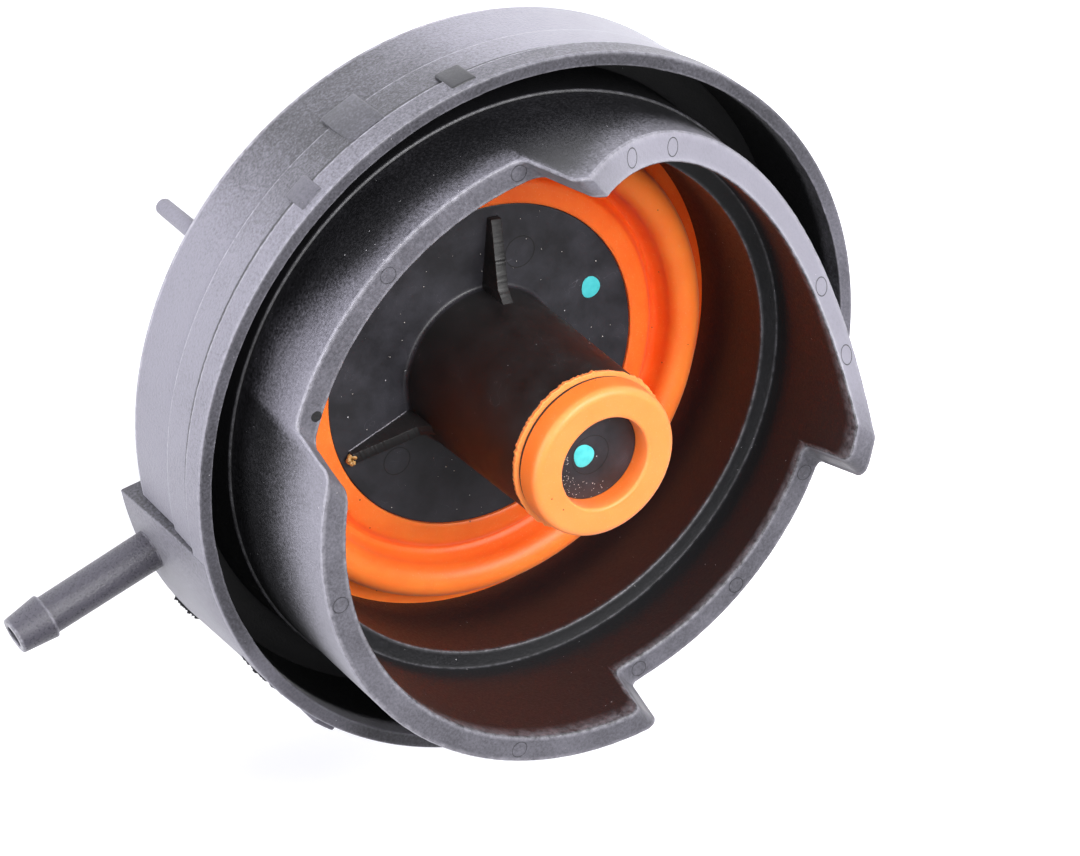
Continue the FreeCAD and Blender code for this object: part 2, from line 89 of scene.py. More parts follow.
def rounded(corners, steps=5):
    """Closed outline through (radius, height, rounding) corners, as (radius, height, edge) points.

    Edge is 1 on a rounding and 0 elsewhere. A long run gets more points, with some close to its ends, so that
    the pale edge beside it stays narrow.
    """
    line = []
    for i, (x, y, rounding) in enumerate(corners):
        if rounding <= 0:
            line.append((x, y, 0.0))
            continue
        here = Vector((x, y))
        before = Vector(corners[i - 1][:2]) - here
        after = Vector(corners[(i + 1) % len(corners)][:2]) - here
        half = before.angle(after) / 2
        reach = min(rounding / math.tan(half), before.length * 0.48, after.length * 0.48)
        radius = reach * math.tan(half)
        start = here + before.normalized() * reach
        end = here + after.normalized() * reach
        centre = here + (before.normalized() + after.normalized()).normalized() * radius / math.sin(half)
        for step in range(steps + 1):
            spoke = (start - centre).lerp(end - centre, step / steps).normalized() * radius
            line.append((centre.x + spoke.x, centre.y + spoke.y, 1.0))
    filled = []
    for i, point in enumerate(line):
        x0, y0 = line[i - 1][:2]
        run = math.hypot(point[0] - x0, point[1] - y0)
        if run > LONG_RUN:
            middle = max(1, int(run / ROW_SPACING))
            shares = [k / (middle + 1) for k in range(1, middle + 1)]
            shares = [share for share in shares if 0.6 < share * run < run - 0.6]
            for near in EDGE_ROWS:
                shares += [near / run, 1 - near / run]
            for share in sorted(shares):
                filled.append((x0 + (point[0] - x0) * share, y0 + (point[1] - y0) * share, 0.0))
        filled.append(point)
    return filled


def ring_faces(columns, rows, first=0):
    """Four-sided faces between columns of points that close on themselves both ways."""
    faces = []
    for c in range(columns):
        one, two = first + c * rows, first + (c + 1) % columns * rows
        for k in range(rows):
            n = (k + 1) % rows
            faces.append((one + k, two + k, two + n, one + n))
    return faces


def turned(name, line, columns=360, shift=None, place=Matrix.Identity(4), pale_tone=None):
    """An object of the outline turned round the axis. shift(angle, r, z) may move each point a little."""
    verts, edges = [], []
    for c in range(columns):
        angle = math.tau * c / columns
        for r, z, edge in line:
            if shift:
                r, z = shift(angle, r, z)
            verts.append((r * math.cos(angle) * MM, r * math.sin(angle) * MM, z * MM))
            edges.append(edge)
    mesh = bpy.data.meshes.new(name)
    mesh.from_pydata(verts, [], ring_faces(columns, len(line)))
    mesh.attributes.new("edge", "FLOAT", "POINT").data.foreach_set("value", edges)
    return finished(name, mesh, place, pale_tone=pale_tone)


def finished(name, mesh, place=Matrix.Identity(4), sharp=40, pale_tone=None):
    """Merges double points, sets the faces outward and the shading smooth, and makes the object.

    pale_tone(degrees round the axis, radius, height) says how pale the skin is drawn at a point, from 0 to 1;
    on many pieces it carries painted light and shade.
    """
    work = bmesh.new()
    work.from_mesh(mesh)
    bmesh.ops.remove_doubles(work, verts=work.verts, dist=2e-7)
    flat = [f for f in work.faces if f.calc_area() < 1e-14]
    bmesh.ops.delete(work, geom=flat, context="FACES_ONLY")
    bmesh.ops.recalc_face_normals(work, faces=work.faces)
    work.to_mesh(mesh)
    work.free()
    mesh.transform(place)
    mesh.shade_smooth()
    mesh.set_sharp_from_angle(angle=math.radians(sharp))
    pale = mesh.attributes.new("pale_tone", "FLOAT", "POINT")
    for v in mesh.vertices:
        x, y, z = v.co / MM
        turn = math.degrees(math.atan2(y, x))
        pale.data[v.index].value = pale_tone(turn, math.hypot(x, y), z) if pale_tone else 1.0
    piece = bpy.data.objects.new(name, mesh)
    bpy.context.scene.collection.objects.link(piece)
    return piece


def hex_colour(code):
    """An sRGB hex value as linear colour."""
    values = [int(code[k:k + 2], 16) / 255 for k in (1, 3, 5)]
    linear = [v / 12.92 if v <= 0.04045 else ((v + 0.055) / 1.055) ** 2.4 for v in values]
    return tuple(linear) + (1.0,)


def add(tree, kind, inputs=None, out=None, **settings):
    """Adds a shader node with its settings and links, and gives the output that is named, or its first."""
    node = tree.nodes.new("ShaderNode" + kind)
    for key, value in settings.items():
        setattr(node, key, value)
    for key, value in (inputs or {}).items():
        if isinstance(value, bpy.types.NodeSocket):
            tree.links.new(value, node.inputs[key])
        else:
            node.inputs[key].default_value = value
    return node.outputs[out] if out else next(socket for socket in node.outputs if socket.enabled)


def new_material(name):
    """A new material, its node tree and shader, and the place on the object in millimetres."""
    material = bpy.data.materials.new(name)
    material.use_nodes = True
    tree = material.node_tree
    place = add(tree, "TexCoord", out="Object")
    mm = add(tree, "VectorMath", {0: place, 1: (1000, 1000, 1000)}, operation="MULTIPLY")
    return material, tree, tree.nodes["Principled BSDF"], mm


def moulded_nylon(name, dark="#151518", pale="#7c7a86", worn="#b9b7c2", roughness=0.48, grain_mm=0.32,
                  relief_mm=0.04, specks=0.5, sheen=0.25, rub=0.5, sand=0.25):
    """Glass-filled nylon straight from the tool: near black where the tool was polished, pale where blasted.

    The mesh's pale_tone value says which, and it also carries painted light and shade. A sandy grain breaks
    up the change from one to the other. Rounded edges are drawn pale, partly as rubbed wear and partly as a
    painted highlight, and a few flakes of dust lie about. The grain is drawn about twice as coarse as the
    real one, so that it shows.
    """
    material, tree, shader, mm = new_material(name)
    pale_tone = add(tree, "Attribute", out="Fac", attribute_name="pale_tone")
    cloud = add(tree, "TexNoise", {"Vector": mm, "Scale": 1 / CLOUD_MM, "Detail": 4.0, "Roughness": 0.6})
    grain = add(tree, "TexNoise", {"Vector": mm, "Scale": 1 / grain_mm, "Detail": 3.0, "Roughness": 0.7})
    cloudy = add(tree, "MapRange", {0: cloud, 1: 0.3, 2: 0.7, 3: -0.08, 4: 0.08})
    sandy = add(tree, "MapRange", {0: grain, 1: 0.3, 2: 0.7, 3: -sand, 4: sand})
    uneven = add(tree, "Math", {0: cloudy, 1: sandy}, operation="ADD")
    room = add(tree, "MapRange", {0: pale_tone, 1: 0.0, 2: 0.3, 3: 0.1, 4: 1.0})
    level = add(tree, "Math", {0: uneven, 1: room, 2: pale_tone}, operation="MULTIPLY_ADD")
    share = add(tree, "MapRange", {0: level, 1: 0.05, 2: 1.15}, interpolation_type="SMOOTHSTEP")
    body = add(tree, "Mix", {0: share, "A": hex_colour(dark), "B": hex_colour(pale)}, data_type="RGBA")
    edge = add(tree, "Attribute", out="Fac", attribute_name="edge")
    patchy = add(tree, "TexNoise", {"Vector": mm, "Scale": 1 / RUB_MM, "Detail": 3.0, "Roughness": 0.7})
    patch = add(tree, "MapRange", {0: patchy, 1: 0.35, 2: 0.75, 3: 0.05, 4: rub})
    # Pale rounded edges: partly rubbed wear, partly a painted highlight along the edge.
    rubbed_and_highlit = add(tree, "Math", {0: edge, 1: patch}, operation="MULTIPLY", use_clamp=True)
    retoned = add(tree, "Mix", {0: rubbed_and_highlit, "A": body, "B": hex_colour(worn)}, data_type="RGBA")
    flakes = add(tree, "TexVoronoi", {"Vector": mm, "Scale": 1 / FLAKE_MM, "Randomness": 1.0}, feature="F1")
    thin = add(tree, "TexNoise", {"Vector": mm, "Scale": 1 / FLAKE_GROUP_MM, "Detail": 2.0})
    limit = add(tree, "MapRange", {0: thin, 1: 0.45, 2: 0.75, 3: 0.0, 4: 0.08 * specks})
    speck = add(tree, "Math", {0: flakes, 1: limit}, operation="LESS_THAN")
    colour = add(tree, "Mix", {0: speck, "A": retoned, "B": hex_colour("#c9c7cc")}, data_type="RGBA")
    tree.links.new(colour, shader.inputs["Base Color"])
    rough = add(tree, "MapRange", {0: grain, 1: 0.3, 2: 0.7, 3: roughness - 0.08, 4: roughness + 0.1})
    tree.links.new(rough, shader.inputs["Roughness"])
    bump = add(tree, "Bump", {"Height": grain, "Strength": 1.0, "Distance": relief_mm * MM})
    waves = add(tree, "Bump", {"Height": cloud, "Strength": 1.0, "Distance": 0.08 * MM, "Normal": bump})
    tree.links.new(waves, shader.inputs["Normal"])
    fibres = add(tree, "Math", {0: share, 1: sheen}, operation="MULTIPLY")
    tree.links.new(fibres, shader.inputs["Sheen Weight"])
    shader.inputs["IOR"].default_value = 1.53
    shader.inputs["Sheen Roughness"].default_value = 0.45
    return material


def skirt_shift(angle, r, z):
    """The moulding's small warps: a wavy lip inside the rim, and a step line that opens by the nipple."""
    lip = noise.noise(Vector((math.cos(angle) * 9, math.sin(angle) * 9, 0.3)))
    lip += 0.6 * noise.noise(Vector((math.cos(angle) * 40, math.sin(angle) * 40, 4.7)))
    if z > -0.3 and r < RIM_R - 1.2:
        r -= 0.09 * max(0.0, lip)
        z -= 0.05 * abs(lip)
    turn = (math.degrees(angle) + 180) % 360 - 180
    opened = ease((turn - 12) / 40) * ease((118 - turn) / 22)
    if STEP_BACK_Z - 0.2 < z < -RIM_DEPTH - 0.1 and r > SKIRT_BORE_R + 0.6:
        z -= 0.25 * opened
    return r, z


def shell_painted_light(turn, r, z):
    """Pale outside, partly as blasted skin and partly as painted reflection, and less so round the pad.
    Painted shade darkens the rim's face and its front, the front more on the upper side, and makes the step
    line and the bore black; painted light lifts the rim's face on the lower left and near the top right.
    """
    # Painted shade: the bore is black.
    if r < SKIRT_BORE_R + 0.35 and z > BACK_Z + 1.0:
        return 0.06
    upper = ease((15 - turn) / 40) if turn > -150 else ease((turn + 190) / 30)
    retoned = ease(1.15 - abs(turn - PAD_ANGLE) / 30)
    lower_left_light = ease((turn - 70) / 12) * ease((108 - turn) / 12)
    # Painted shade: the step line is black.
    if STEP_BACK_Z - 0.33 < z < -RIM_DEPTH + 0.02 and r < BAND_R + 0.02:
        return 0.0
    # Painted shade on the rim's face, with painted light on its lower left and near the top right.
    if z > -0.05 and r < RIM_R - 0.1:
        return 0.38 + 0.3 * lower_left_light + 0.25 * ease((-95 - turn) / 20) * ease((turn + 160) / 20)
    # Painted shade on the rim's front, darker on the upper side.
    if z > -RIM_DEPTH - 0.05:
        return 0.9 - 0.4 * upper
    if z > RIDGE_Z:
        return 0.97 - 0.6 * retoned
    return 1.05 - 0.68 * retoned


shell_line = rounded([
    (0.0, DOME_BACK_Z, 0), (DOME_R, DOME_BACK_Z, 2.0), (DOME_R, BACK_Z, 0.6), (SKIRT_BACK_R, BACK_Z, 1.0),
    (SKIRT_R, RIDGE_Z, 0.05), (BAND_BACK_R, RIDGE_Z, 0.16), (BAND_R, STEP_BACK_Z, 0.1),
    (BAND_R - STEP_DEPTH, STEP_BACK_Z, 0.05), (BAND_R - STEP_DEPTH, -RIM_DEPTH, 0.05),
    (RIM_R, -RIM_DEPTH, 0.12), (RIM_R, 0.0, 0.22), (RIM_R - RIM_WIDTH, 0.0, 0.12),
    (SKIRT_BORE_R, CHANNEL_Z, 0), (SKIRT_BORE_R, SEAT_Z, 0), (SEAT_R, SEAT_Z, 0), (SEAT_R, CLAMP_Z, 0),
    (CLAMP_R, CLAMP_Z, 0.3), (CLAMP_R, DOME_FLOOR_Z, 0.5), (0.0, DOME_FLOOR_Z, 0),
])
# The pale colour of these nylons is partly the blasted skin and partly painted reflection; the blasted
# nylon's high rub also paints a highlight along the ridge line.
blasted_nylon_painted_reflection = moulded_nylon("blasted glass-filled nylon with painted reflection", relief_mm=0.08, rub=0.8, sand=0.26)
rim_nylon = moulded_nylon("smooth glass-filled nylon rim", relief_mm=0.03, rub=0.5, sand=0.14, specks=1.0)
shell = turned("cover_shell", shell_line, shift=skirt_shift, pale_tone=shell_painted_light)
shell.data.materials.append(blasted_nylon_painted_reflection)
shell.data.materials.append(rim_nylon)
for face in shell.data.polygons:
    if face.center.z > -0.25 * MM and math.hypot(face.center.x, face.center.y) < (RIM_R - 0.04) * MM:
        face.material_index = 1
for v in shell.data.vertices:
    if v.co.z > -0.4 * MM:
        shell.data.attributes["edge"].data[v.index].value *= 0.4
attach(shell, "housing")
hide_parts("cover")

# Boss and nipple: a wedge on the skirt from which the hose nipple grows, and a short barb at its end.
# Moulded with the cover. The tube stands square to the axis, and its bore is open at the end.
BOSS_START = 58.8
BOSS_SWEEP = 45.2
BOSS_COLUMNS = 22
BOSS_FRONT_Z = -0.4
BOSS_BACK_Z = -18.8
BOSS_BACK_R = 40.25
BOSS_FOOT_R = 28.2
BOSS_ROOT_R = 38.3
BOSS_ROOT_Z = -16.6
NIPPLE_ANGLE = 67.9
NIPPLE_Z = -15.6
NIPPLE_R = 2.15
NIPPLE_ROOT = 27.2
NIPPLE_FILLET_END = 40.2
NIPPLE_END = 57.3
NIPPLE_BORE_R = 1.2
BARB_R = 2.52
BARB_TIP_R = 2.0
BARB_LENGTH = 4.1


def block(name, points, rounding=0.15, sharp=40, segments=3, pale_tone=None):
    """A closed body from rings of points in millimetres, its edges eased by a small rounding."""
    work = bmesh.new()
    rings = [[work.verts.new([c * MM for c in p]) for p in ring] for ring in points]
    count = len(points[0])
    for one, two in zip(rings, rings[1:]):
        for k in range(count):
            n = (k + 1) % count
            work.faces.new((one[k], one[n], two[n], two[k]))
    work.faces.new(list(reversed(rings[0])))
    work.faces.new(rings[-1])
    bmesh.ops.recalc_face_normals(work, faces=work.faces)
    bent = [e for e in work.edges if len(e.link_faces) == 2 and e.calc_face_angle(0) > math.radians(sharp)]
    bmesh.ops.bevel(work, geom=bent, offset=rounding * MM, segments=segments, profile=0.5, affect="EDGES")
    mesh = bpy.data.meshes.new(name)
    work.to_mesh(mesh)
    work.free()
    return finished(name, mesh, pale_tone=pale_tone)


def boss_shade_and_tone(turn, r, z):
    """The wedge's end face is drawn darker than its round side as painted shade, and the round side pales
    away from the nipple.
    """
    return 0.4 if turn < BOSS_START + 0.05 else 0.74 + 0.22 * ease((turn - 64) / 16)


boss_outline = [
    (39.2, BOSS_FRONT_Z), (RIM_R + 0.02, BOSS_FRONT_Z), (RIM_R + 0.04, -8.3), (BOSS_BACK_R, BOSS_BACK_Z),
    (BOSS_FOOT_R, BOSS_BACK_Z), (BOSS_FOOT_R, BOSS_ROOT_Z), (BOSS_ROOT_R, BOSS_ROOT_Z), (BOSS_ROOT_R, -8.0),
]
boss_rings = []
for step in [0, 0.12] + list(range(1, BOSS_COLUMNS + 1)):
    turn = math.radians(BOSS_START + BOSS_SWEEP * step / BOSS_COLUMNS)
    boss_rings.append([(r * math.cos(turn), r * math.sin(turn), z) for r, z in boss_outline])
boss = block("nipple_boss", boss_rings, rounding=0.18, pale_tone=boss_shade_and_tone)
nipple_line = rounded([
    (NIPPLE_BORE_R, NIPPLE_ROOT, 0), (NIPPLE_R + 0.35, NIPPLE_ROOT, 0),
    (NIPPLE_R + 0.06, NIPPLE_FILLET_END, 0.3), (NIPPLE_R, NIPPLE_END - BARB_LENGTH, 0.05),
    (BARB_R, NIPPLE_END - BARB_LENGTH, 0.1), (BARB_TIP_R, NIPPLE_END, 0.22),
    (NIPPLE_BORE_R, NIPPLE_END, 0.12),
])
sideways = Matrix.Rotation(math.radians(NIPPLE_ANGLE), 4, "Z") @ Matrix.Rotation(math.radians(90), 4, "Y")
nipple = turned("hose_nipple", nipple_line, 96, place=Matrix.Translation((0, 0, NIPPLE_Z * MM)) @ sideways)
sandy_nylon = moulded_nylon("sandy glass-filled nylon", "#101013", "#44424c", roughness=0.3, grain_mm=0.3,
                            relief_mm=0.1, sheen=0.05, sand=0.4)
for piece in (boss, nipple):
    piece.data.materials.append(blasted_nylon_painted_reflection if piece is boss else sandy_nylon)
    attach(piece, "housing")

# Lugs, pad and peg: three small square lugs and a shallow pad across the step line, and a thin back peg.
# All moulded with the cover. The lugs locate the cap, so their faces are smooth and a little darker.
# Each lug has its angle, its outer radius and how pale it is; the paleness is painted light and shade,
# darkest on the upper lug and palest on the lower left one.
LUGS = ((-29.6, 40.1, 0.1), (-1.4, 40.1, 0.68), (99.2, 40.6, 1.0))
LUG_WIDTH = 2.95
LUG_ROOT_R = 38.9
LUG_BACK_Z = -4.7
LUG_FRONT_Z = -0.9
PAD_WIDTH = 4.5
PAD_R = 39.66
PEG_ANGLE = 14.1
PEG_PLACE_R = 36.6
PEG_ROOT_R = 0.95
PEG_END_R = 0.9


def arc_block(name, angle, width, inner, outer, back, front, rounding, pale_tone):
    """A block bent round the axis, its middle at the angle given in degrees."""
    rings = []
    half = width / outer / 2
    for step in range(7):
        turn = math.radians(angle) - half + 2 * half * step / 6
        outline = [(inner, back), (outer, back), (outer, front), (inner, front)]
        rings.append([(r * math.cos(turn), r * math.sin(turn), z) for r, z in outline])
    return block(name, rings, rounding, pale_tone=pale_tone)


lug_nylon = moulded_nylon("smooth moulded nylon", "#1a1a1e", "#5b5964", roughness=0.42, relief_mm=0.02,
                          sheen=0.1)
pad_nylon = moulded_nylon("satin moulded nylon pad", "#2a2a2f", "#6e6c78", roughness=0.42, relief_mm=0.02,
                          sheen=0.15)
small = []
for n, (angle, outer, pale) in enumerate(LUGS):
    lug = arc_block("locating_lug_%d" % (n + 1), angle, LUG_WIDTH, LUG_ROOT_R, outer, LUG_BACK_Z, LUG_FRONT_Z,
                    0.28, lambda turn, r, z: pale)
    small.append((lug, lug_nylon))
pad = arc_block("shallow_pad", PAD_ANGLE, PAD_WIDTH, 38.7, PAD_R, -10.0, -3.3, 0.3, lambda turn, r, z: 0.36)
small.append((pad, pad_nylon))
peg_line = rounded([(0.0, BACK_Z + 0.5, 0), (PEG_ROOT_R, BACK_Z + 0.5, 0), (PEG_END_R, DOME_BACK_Z, 0.25),
                    (0.0, DOME_BACK_Z, 0)])
peg_place = Matrix.Rotation(math.radians(PEG_ANGLE), 4, "Z") @ Matrix.Translation((PEG_PLACE_R * MM, 0, 0))
small.append((turned("back_peg", peg_line, 40, place=peg_place), blasted_nylon_painted_reflection))
for piece, nylon in small:
    piece.data.materials.append(nylon)
    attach(piece, "housing")

# Carrier cup: the ring wall that stands out of the skirt, with the channel's floor outside and a ledge
# inside. A second moulding in the same nylon, with polished walls. Its rim has two low gaps and one long dip,
# and its edges are worn, their pale colour partly wear and partly a painted highlight. Its pale and black
# tones are painted light and shade.
CUP_R = 33.9
CUP_BORE_R = 31.0
CUP_TOP_Z = 14.45
CUP_FOOT_Z = -4.15
LEDGE_R = 29.0
FLANGE_Z = -13.0
GAP_Z = 6.6
GAPS = {1: (17.5, 18.7), -1: (15.8, 16.9)}
FOOT = 1.0
TIP = 1.6
DIP_ANGLE = -89.0
DIP_LOW_Z = 3.3
DIP_RISE = 10.9
DIP_HALF_ANGLE = 52.0
DIP_POWER = 2.15
DIP_SLOPE = 0.5
EDGE = 0.26
STEEPEST = 30.0
SIDE_FOLD = 0.63
RADIAL_FOLD = 1.25
MARK_R = 0.88
MARK_COLUMNS = 48
MARK_LIFT = 0.012
MARK_SUNK = 0.04
RIM_MARKS = (-30.0, 0.0, 60.0, 119.0, 154.5, 179.5, 205.0)
NOTCH_PIT = (31.75, 28.7)
DIP_MARKS = (-38.6, -26.0, 26.0, 39.0)
CUP_OUTSIDE = (
    (LEDGE_R, FLANGE_Z, 0), (SEAT_R, FLANGE_Z, 0), (SEAT_R, SEAT_Z, 0), (SKIRT_BORE_R, SEAT_Z, 0),
    (SKIRT_BORE_R, CHANNEL_Z, 0), (36.2, CHANNEL_Z, 0), (34.85, CHANNEL_Z, 0), (34.45, -11.87, 0),
    (34.25, -11.4, 0), (34.25, -8.0, 0), (34.25, -4.9, 0), (34.25, -4.52, 0), (34.2, -4.38, 0.4),
    (34.08, -4.31, 0.4), (33.95, -4.28, 0), (CUP_R, CUP_FOOT_Z, 0),
)
CUP_INSIDE = (
    (CUP_BORE_R, -0.95, 0), (30.93, -1.17, 0.5), (30.7, -1.25, 0), (29.4, -1.25, 0), (29.14, -1.27, 0.3),
    (29.04, -1.34, 1), (LEDGE_R, -1.5, 0.3), (LEDGE_R, -1.8, 0), (LEDGE_R, -5.0, 0), (LEDGE_R, -9.0, 0),
)


def gap_height(across, half, top_half):
    """Height of a rim gap's outline at a distance from its middle: flat foot, leaning side, rounded tip."""
    lean = (top_half - half) / (CUP_TOP_Z - TIP - GAP_Z)
    foot_end = half + lean * FOOT
    if across < half - FOOT:
        return GAP_Z
    if across < foot_end:
        share = (across - half + FOOT) / (foot_end - half + FOOT)
        return GAP_Z + FOOT * (1 - math.sqrt(max(0.0, 1 - share * share)))
    if across < top_half:
        return GAP_Z + FOOT + (across - foot_end) / (top_half - foot_end) * (CUP_TOP_Z - TIP - GAP_Z - FOOT)
    if across < top_half + TIP:
        share = 1 - (across - top_half) / TIP
        return CUP_TOP_Z - TIP + TIP * math.sqrt(max(0.0, 1 - share * share))
    return CUP_TOP_Z


def dip_height(angle, radius):
    """Height of the long dip, which rises ever faster away from its middle and slopes down outward."""
    offset = abs((math.degrees(angle) - DIP_ANGLE + 180) % 360 - 180)
    rise = DIP_RISE * (min(offset, 75.0) / DIP_HALF_ANGLE) ** DIP_POWER
    return DIP_LOW_Z + rise + DIP_SLOPE * (CUP_R - radius)


def rim_height(angle, radius):
    """Height of the rim's face, the lowest of its full height, the nearer gap and the dip."""
    side = 1 if math.cos(angle) > 0 else -1
    across = abs(radius * math.sin(angle))
    return min(CUP_TOP_Z, gap_height(across, *GAPS[side]), dip_height(angle, radius))


def inner_angle(angle):
    """The inner wall's angle for a column: square to the gap's sides near them, radial elsewhere."""
    folded = math.asin(min(1.0, abs(math.sin(angle))))
    near = min(folded, SIDE_FOLD)
    straight = math.asin(min(1.0, CUP_R / CUP_BORE_R * abs(math.sin(near))))
    extra = (straight - near) * ease((RADIAL_FOLD - folded) / (RADIAL_FOLD - SIDE_FOLD))
    return angle + extra * math.copysign(1, math.sin(angle)) * math.copysign(1, math.cos(angle))


def edge_drop(angle, radius):
    """How far the rim's rounding reaches down the wall, more where the rim's face is steep."""
    step = 0.0015
    slope = (rim_height(angle + step, radius) - rim_height(angle - step, radius)) / (2 * step * radius)
    return EDGE * math.sqrt(1 + min(STEEPEST, slope ** 2))


def cup_column(angle):
    """The cup's outline at one angle, as (radius, height, edge, share) points.

    The share says how far a point turns from the outer wall's angle to the inner wall's.
    """
    turned_in = inner_angle(angle)
    out_z, in_z = rim_height(angle, CUP_R), rim_height(turned_in, CUP_BORE_R)
    out_drop, in_drop = edge_drop(angle, CUP_R), edge_drop(turned_in, CUP_BORE_R)
    rough = 0.035 * noise.noise(Vector((math.cos(angle) * 60, math.sin(angle) * 60, 1.0)))
    column = [(radius, height, edge, 0) for radius, height, edge in CUP_OUTSIDE]
    top = out_z - out_drop
    column += [(CUP_R, CUP_FOOT_Z + (top - CUP_FOOT_Z) * k / 8, 0, 0) for k in range(1, 8)]
    column.append((CUP_R, top - 0.05, 0, 0))
    for k in range(6):
        swing = math.pi / 2 * k / 5
        radius = CUP_R - EDGE * (1 - math.cos(swing)) + rough
        column.append((radius, out_z - out_drop * (1 - math.sin(swing)), 1, 0))
    first, last = CUP_R - EDGE, CUP_BORE_R + EDGE
    for k in range(1, 8):
        share = k / 8
        radius = first + (last - first) * share
        column.append((radius, rim_height(angle + (turned_in - angle) * share, radius), 0, share))
    for k in range(6):
        swing = math.pi / 2 * (1 - k / 5)
        radius = CUP_BORE_R + EDGE * (1 - math.cos(swing)) + rough
        column.append((radius, in_z - in_drop * (1 - math.sin(swing)), 1, 1))
    low, high = CUP_INSIDE[0][1], in_z - in_drop
    column += [(CUP_BORE_R, high + (low - high) * k / 8, 0, 1) for k in range(1, 8)]
    return column + [(radius, height, edge, 1) for radius, height, edge in CUP_INSIDE]


def cup_painted_light(turn, r, z):
    """Painted light and shade: pale below the rim outside, fading into painted shade lower down and widest on
    the lamp side by the nipple; a painted highlight on the rim's face, most in the dip; darker on the ledge
    and black on the inner walls as painted shade.
    """
    height = rim_height(math.radians(turn), r)
    lamp_side = ease((turn + 2) / 24) * ease((140 - turn) / 15)
    dip_light = ease((60 - abs(turn - DIP_ANGLE)) / 25)
    # Painted highlight on the rim's face, most in the dip.
    if CUP_BORE_R + 0.12 < r < CUP_R - 0.12 and z > 1:
        return 0.5 + 0.5 * dip_light
    # Outer wall: pale under the rim, fading into painted shade lower down, reaching further on the lamp side.
    if r > CUP_R - 0.2 and z > -4.2:
        deep = 4.2 + 8.5 * lamp_side + 6.0 * ease((turn - 80) / 30) * lamp_side + 1.5 * dip_light
        return 0.12 + (0.46 + 0.32 * lamp_side) * (1.0 - ease((height - z) / deep))
    # Painted shade on the ledge and the inner walls.
    if r < 30.9 and z > -1.6:
        return 0.1
    return 0.0


rim_angles = {round(math.tau * k / 720, 6) for k in range(720)}
for side, (half, top_half) in GAPS.items():
    for k in range(61):
        across = half - FOOT * 1.1 + (top_half - half + 2 * FOOT + TIP) * k / 60
        turn = math.asin(min(0.99, across / CUP_R))
        for sign in (1, -1):
            angle = sign * turn if side == 1 else math.pi - sign * turn
            rim_angles.add(round(angle % math.tau, 6))
cup_verts, cup_edges = [], []
for angle in sorted(rim_angles):
    inward = inner_angle(angle) - angle
    column = cup_column(angle)
    for radius, height, edge, share in column:
        if share == 1 and height < 3:
            share = ease((height + 1) / 4)
        at = angle + inward * share
        cup_verts.append((radius * math.cos(at) * MM, radius * math.sin(at) * MM, height * MM))
        cup_edges.append(float(edge))
cup_mesh = bpy.data.meshes.new("carrier_cup")
cup_mesh.from_pydata(cup_verts, [], ring_faces(len(rim_angles), len(column)))
cup_mesh.attributes.new("edge", "FLOAT", "POINT").data.foreach_set("value", cup_edges)
cup = finished("carrier_cup", cup_mesh, sharp=48, pale_tone=cup_painted_light)
# The cup's pale colour is painted light: painted reflection of the bright surroundings on black nylon, with
# painted shade below.
polished_nylon_painted_light = moulded_nylon("polished glass-filled nylon with painted light", "#101013", "#82808c", "#a9a7b1", 0.46,
                               grain_mm=0.3, relief_mm=0.03, specks=1.0, sheen=0.2, rub=0.45, sand=0.2)
trimmed_nylon = moulded_nylon("trimmed glass-filled nylon rim", "#131316", "#85838f", "#a9a7b1", 0.46,
                              relief_mm=0.03, specks=0.8, sheen=0.2, rub=0.5, sand=0.1)
cup.data.materials.append(polished_nylon_painted_light)
cup.data.materials.append(trimmed_nylon)
for face in cup.data.polygons:
    radius = math.hypot(face.center.x, face.center.y) / MM
    if face.center.z > 2.5 * MM and CUP_BORE_R + 0.05 < radius < CUP_R - 0.05:
        face.material_index = 1
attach(cup, "housing")
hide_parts("carrier")


def mark_rings(name, marks, height_at, width=0.1, pale=0.3):
    """Fine circles that ejector pins leave: thin rings on a face, each (radius, degrees, ring radius). Each
    ring is drawn darker than the face round it as painted shade in its fine groove.
    """
    verts, faces = [], []
    for place_r, degrees, ring_r in marks:
        faces += ring_faces(MARK_COLUMNS, 4, len(verts))
        inner, outer = ring_r - width / 2, ring_r + width / 2
        section = ((inner, -MARK_SUNK), (inner, MARK_LIFT), (outer, MARK_LIFT), (outer, -MARK_SUNK))
        for k in range(MARK_COLUMNS):
            for rho, lift in section:
                x = place_r * math.cos(math.radians(degrees)) + rho * math.cos(math.tau * k / MARK_COLUMNS)
                y = place_r * math.sin(math.radians(degrees)) + rho * math.sin(math.tau * k / MARK_COLUMNS)
                height = height_at(math.atan2(y, x), math.hypot(x, y)) + lift
                verts.append((x * MM, y * MM, height * MM))
    mesh = bpy.data.meshes.new(name)
    mesh.from_pydata(verts, [], faces)
    return finished(name, mesh, pale_tone=lambda turn, r, z: pale)


rim_middle_r = (CUP_R + CUP_BORE_R) / 2
mark_angles = RIM_MARKS + tuple(DIP_ANGLE + offset for offset in DIP_MARKS)
mark_places = [(rim_middle_r, turn, MARK_R) for turn in mark_angles]
rim_marks = mark_rings("rim_ejector_marks", mark_places, rim_height)
# The pin pit is drawn darker still, as painted shade in the pit.
pit = mark_rings("notch_pin_pit", [NOTCH_PIT + (0.3,)], rim_height, 0.58, 0.1)
for piece in (rim_marks, pit):
    piece.data.materials.append(trimmed_nylon)
    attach(piece, "housing")

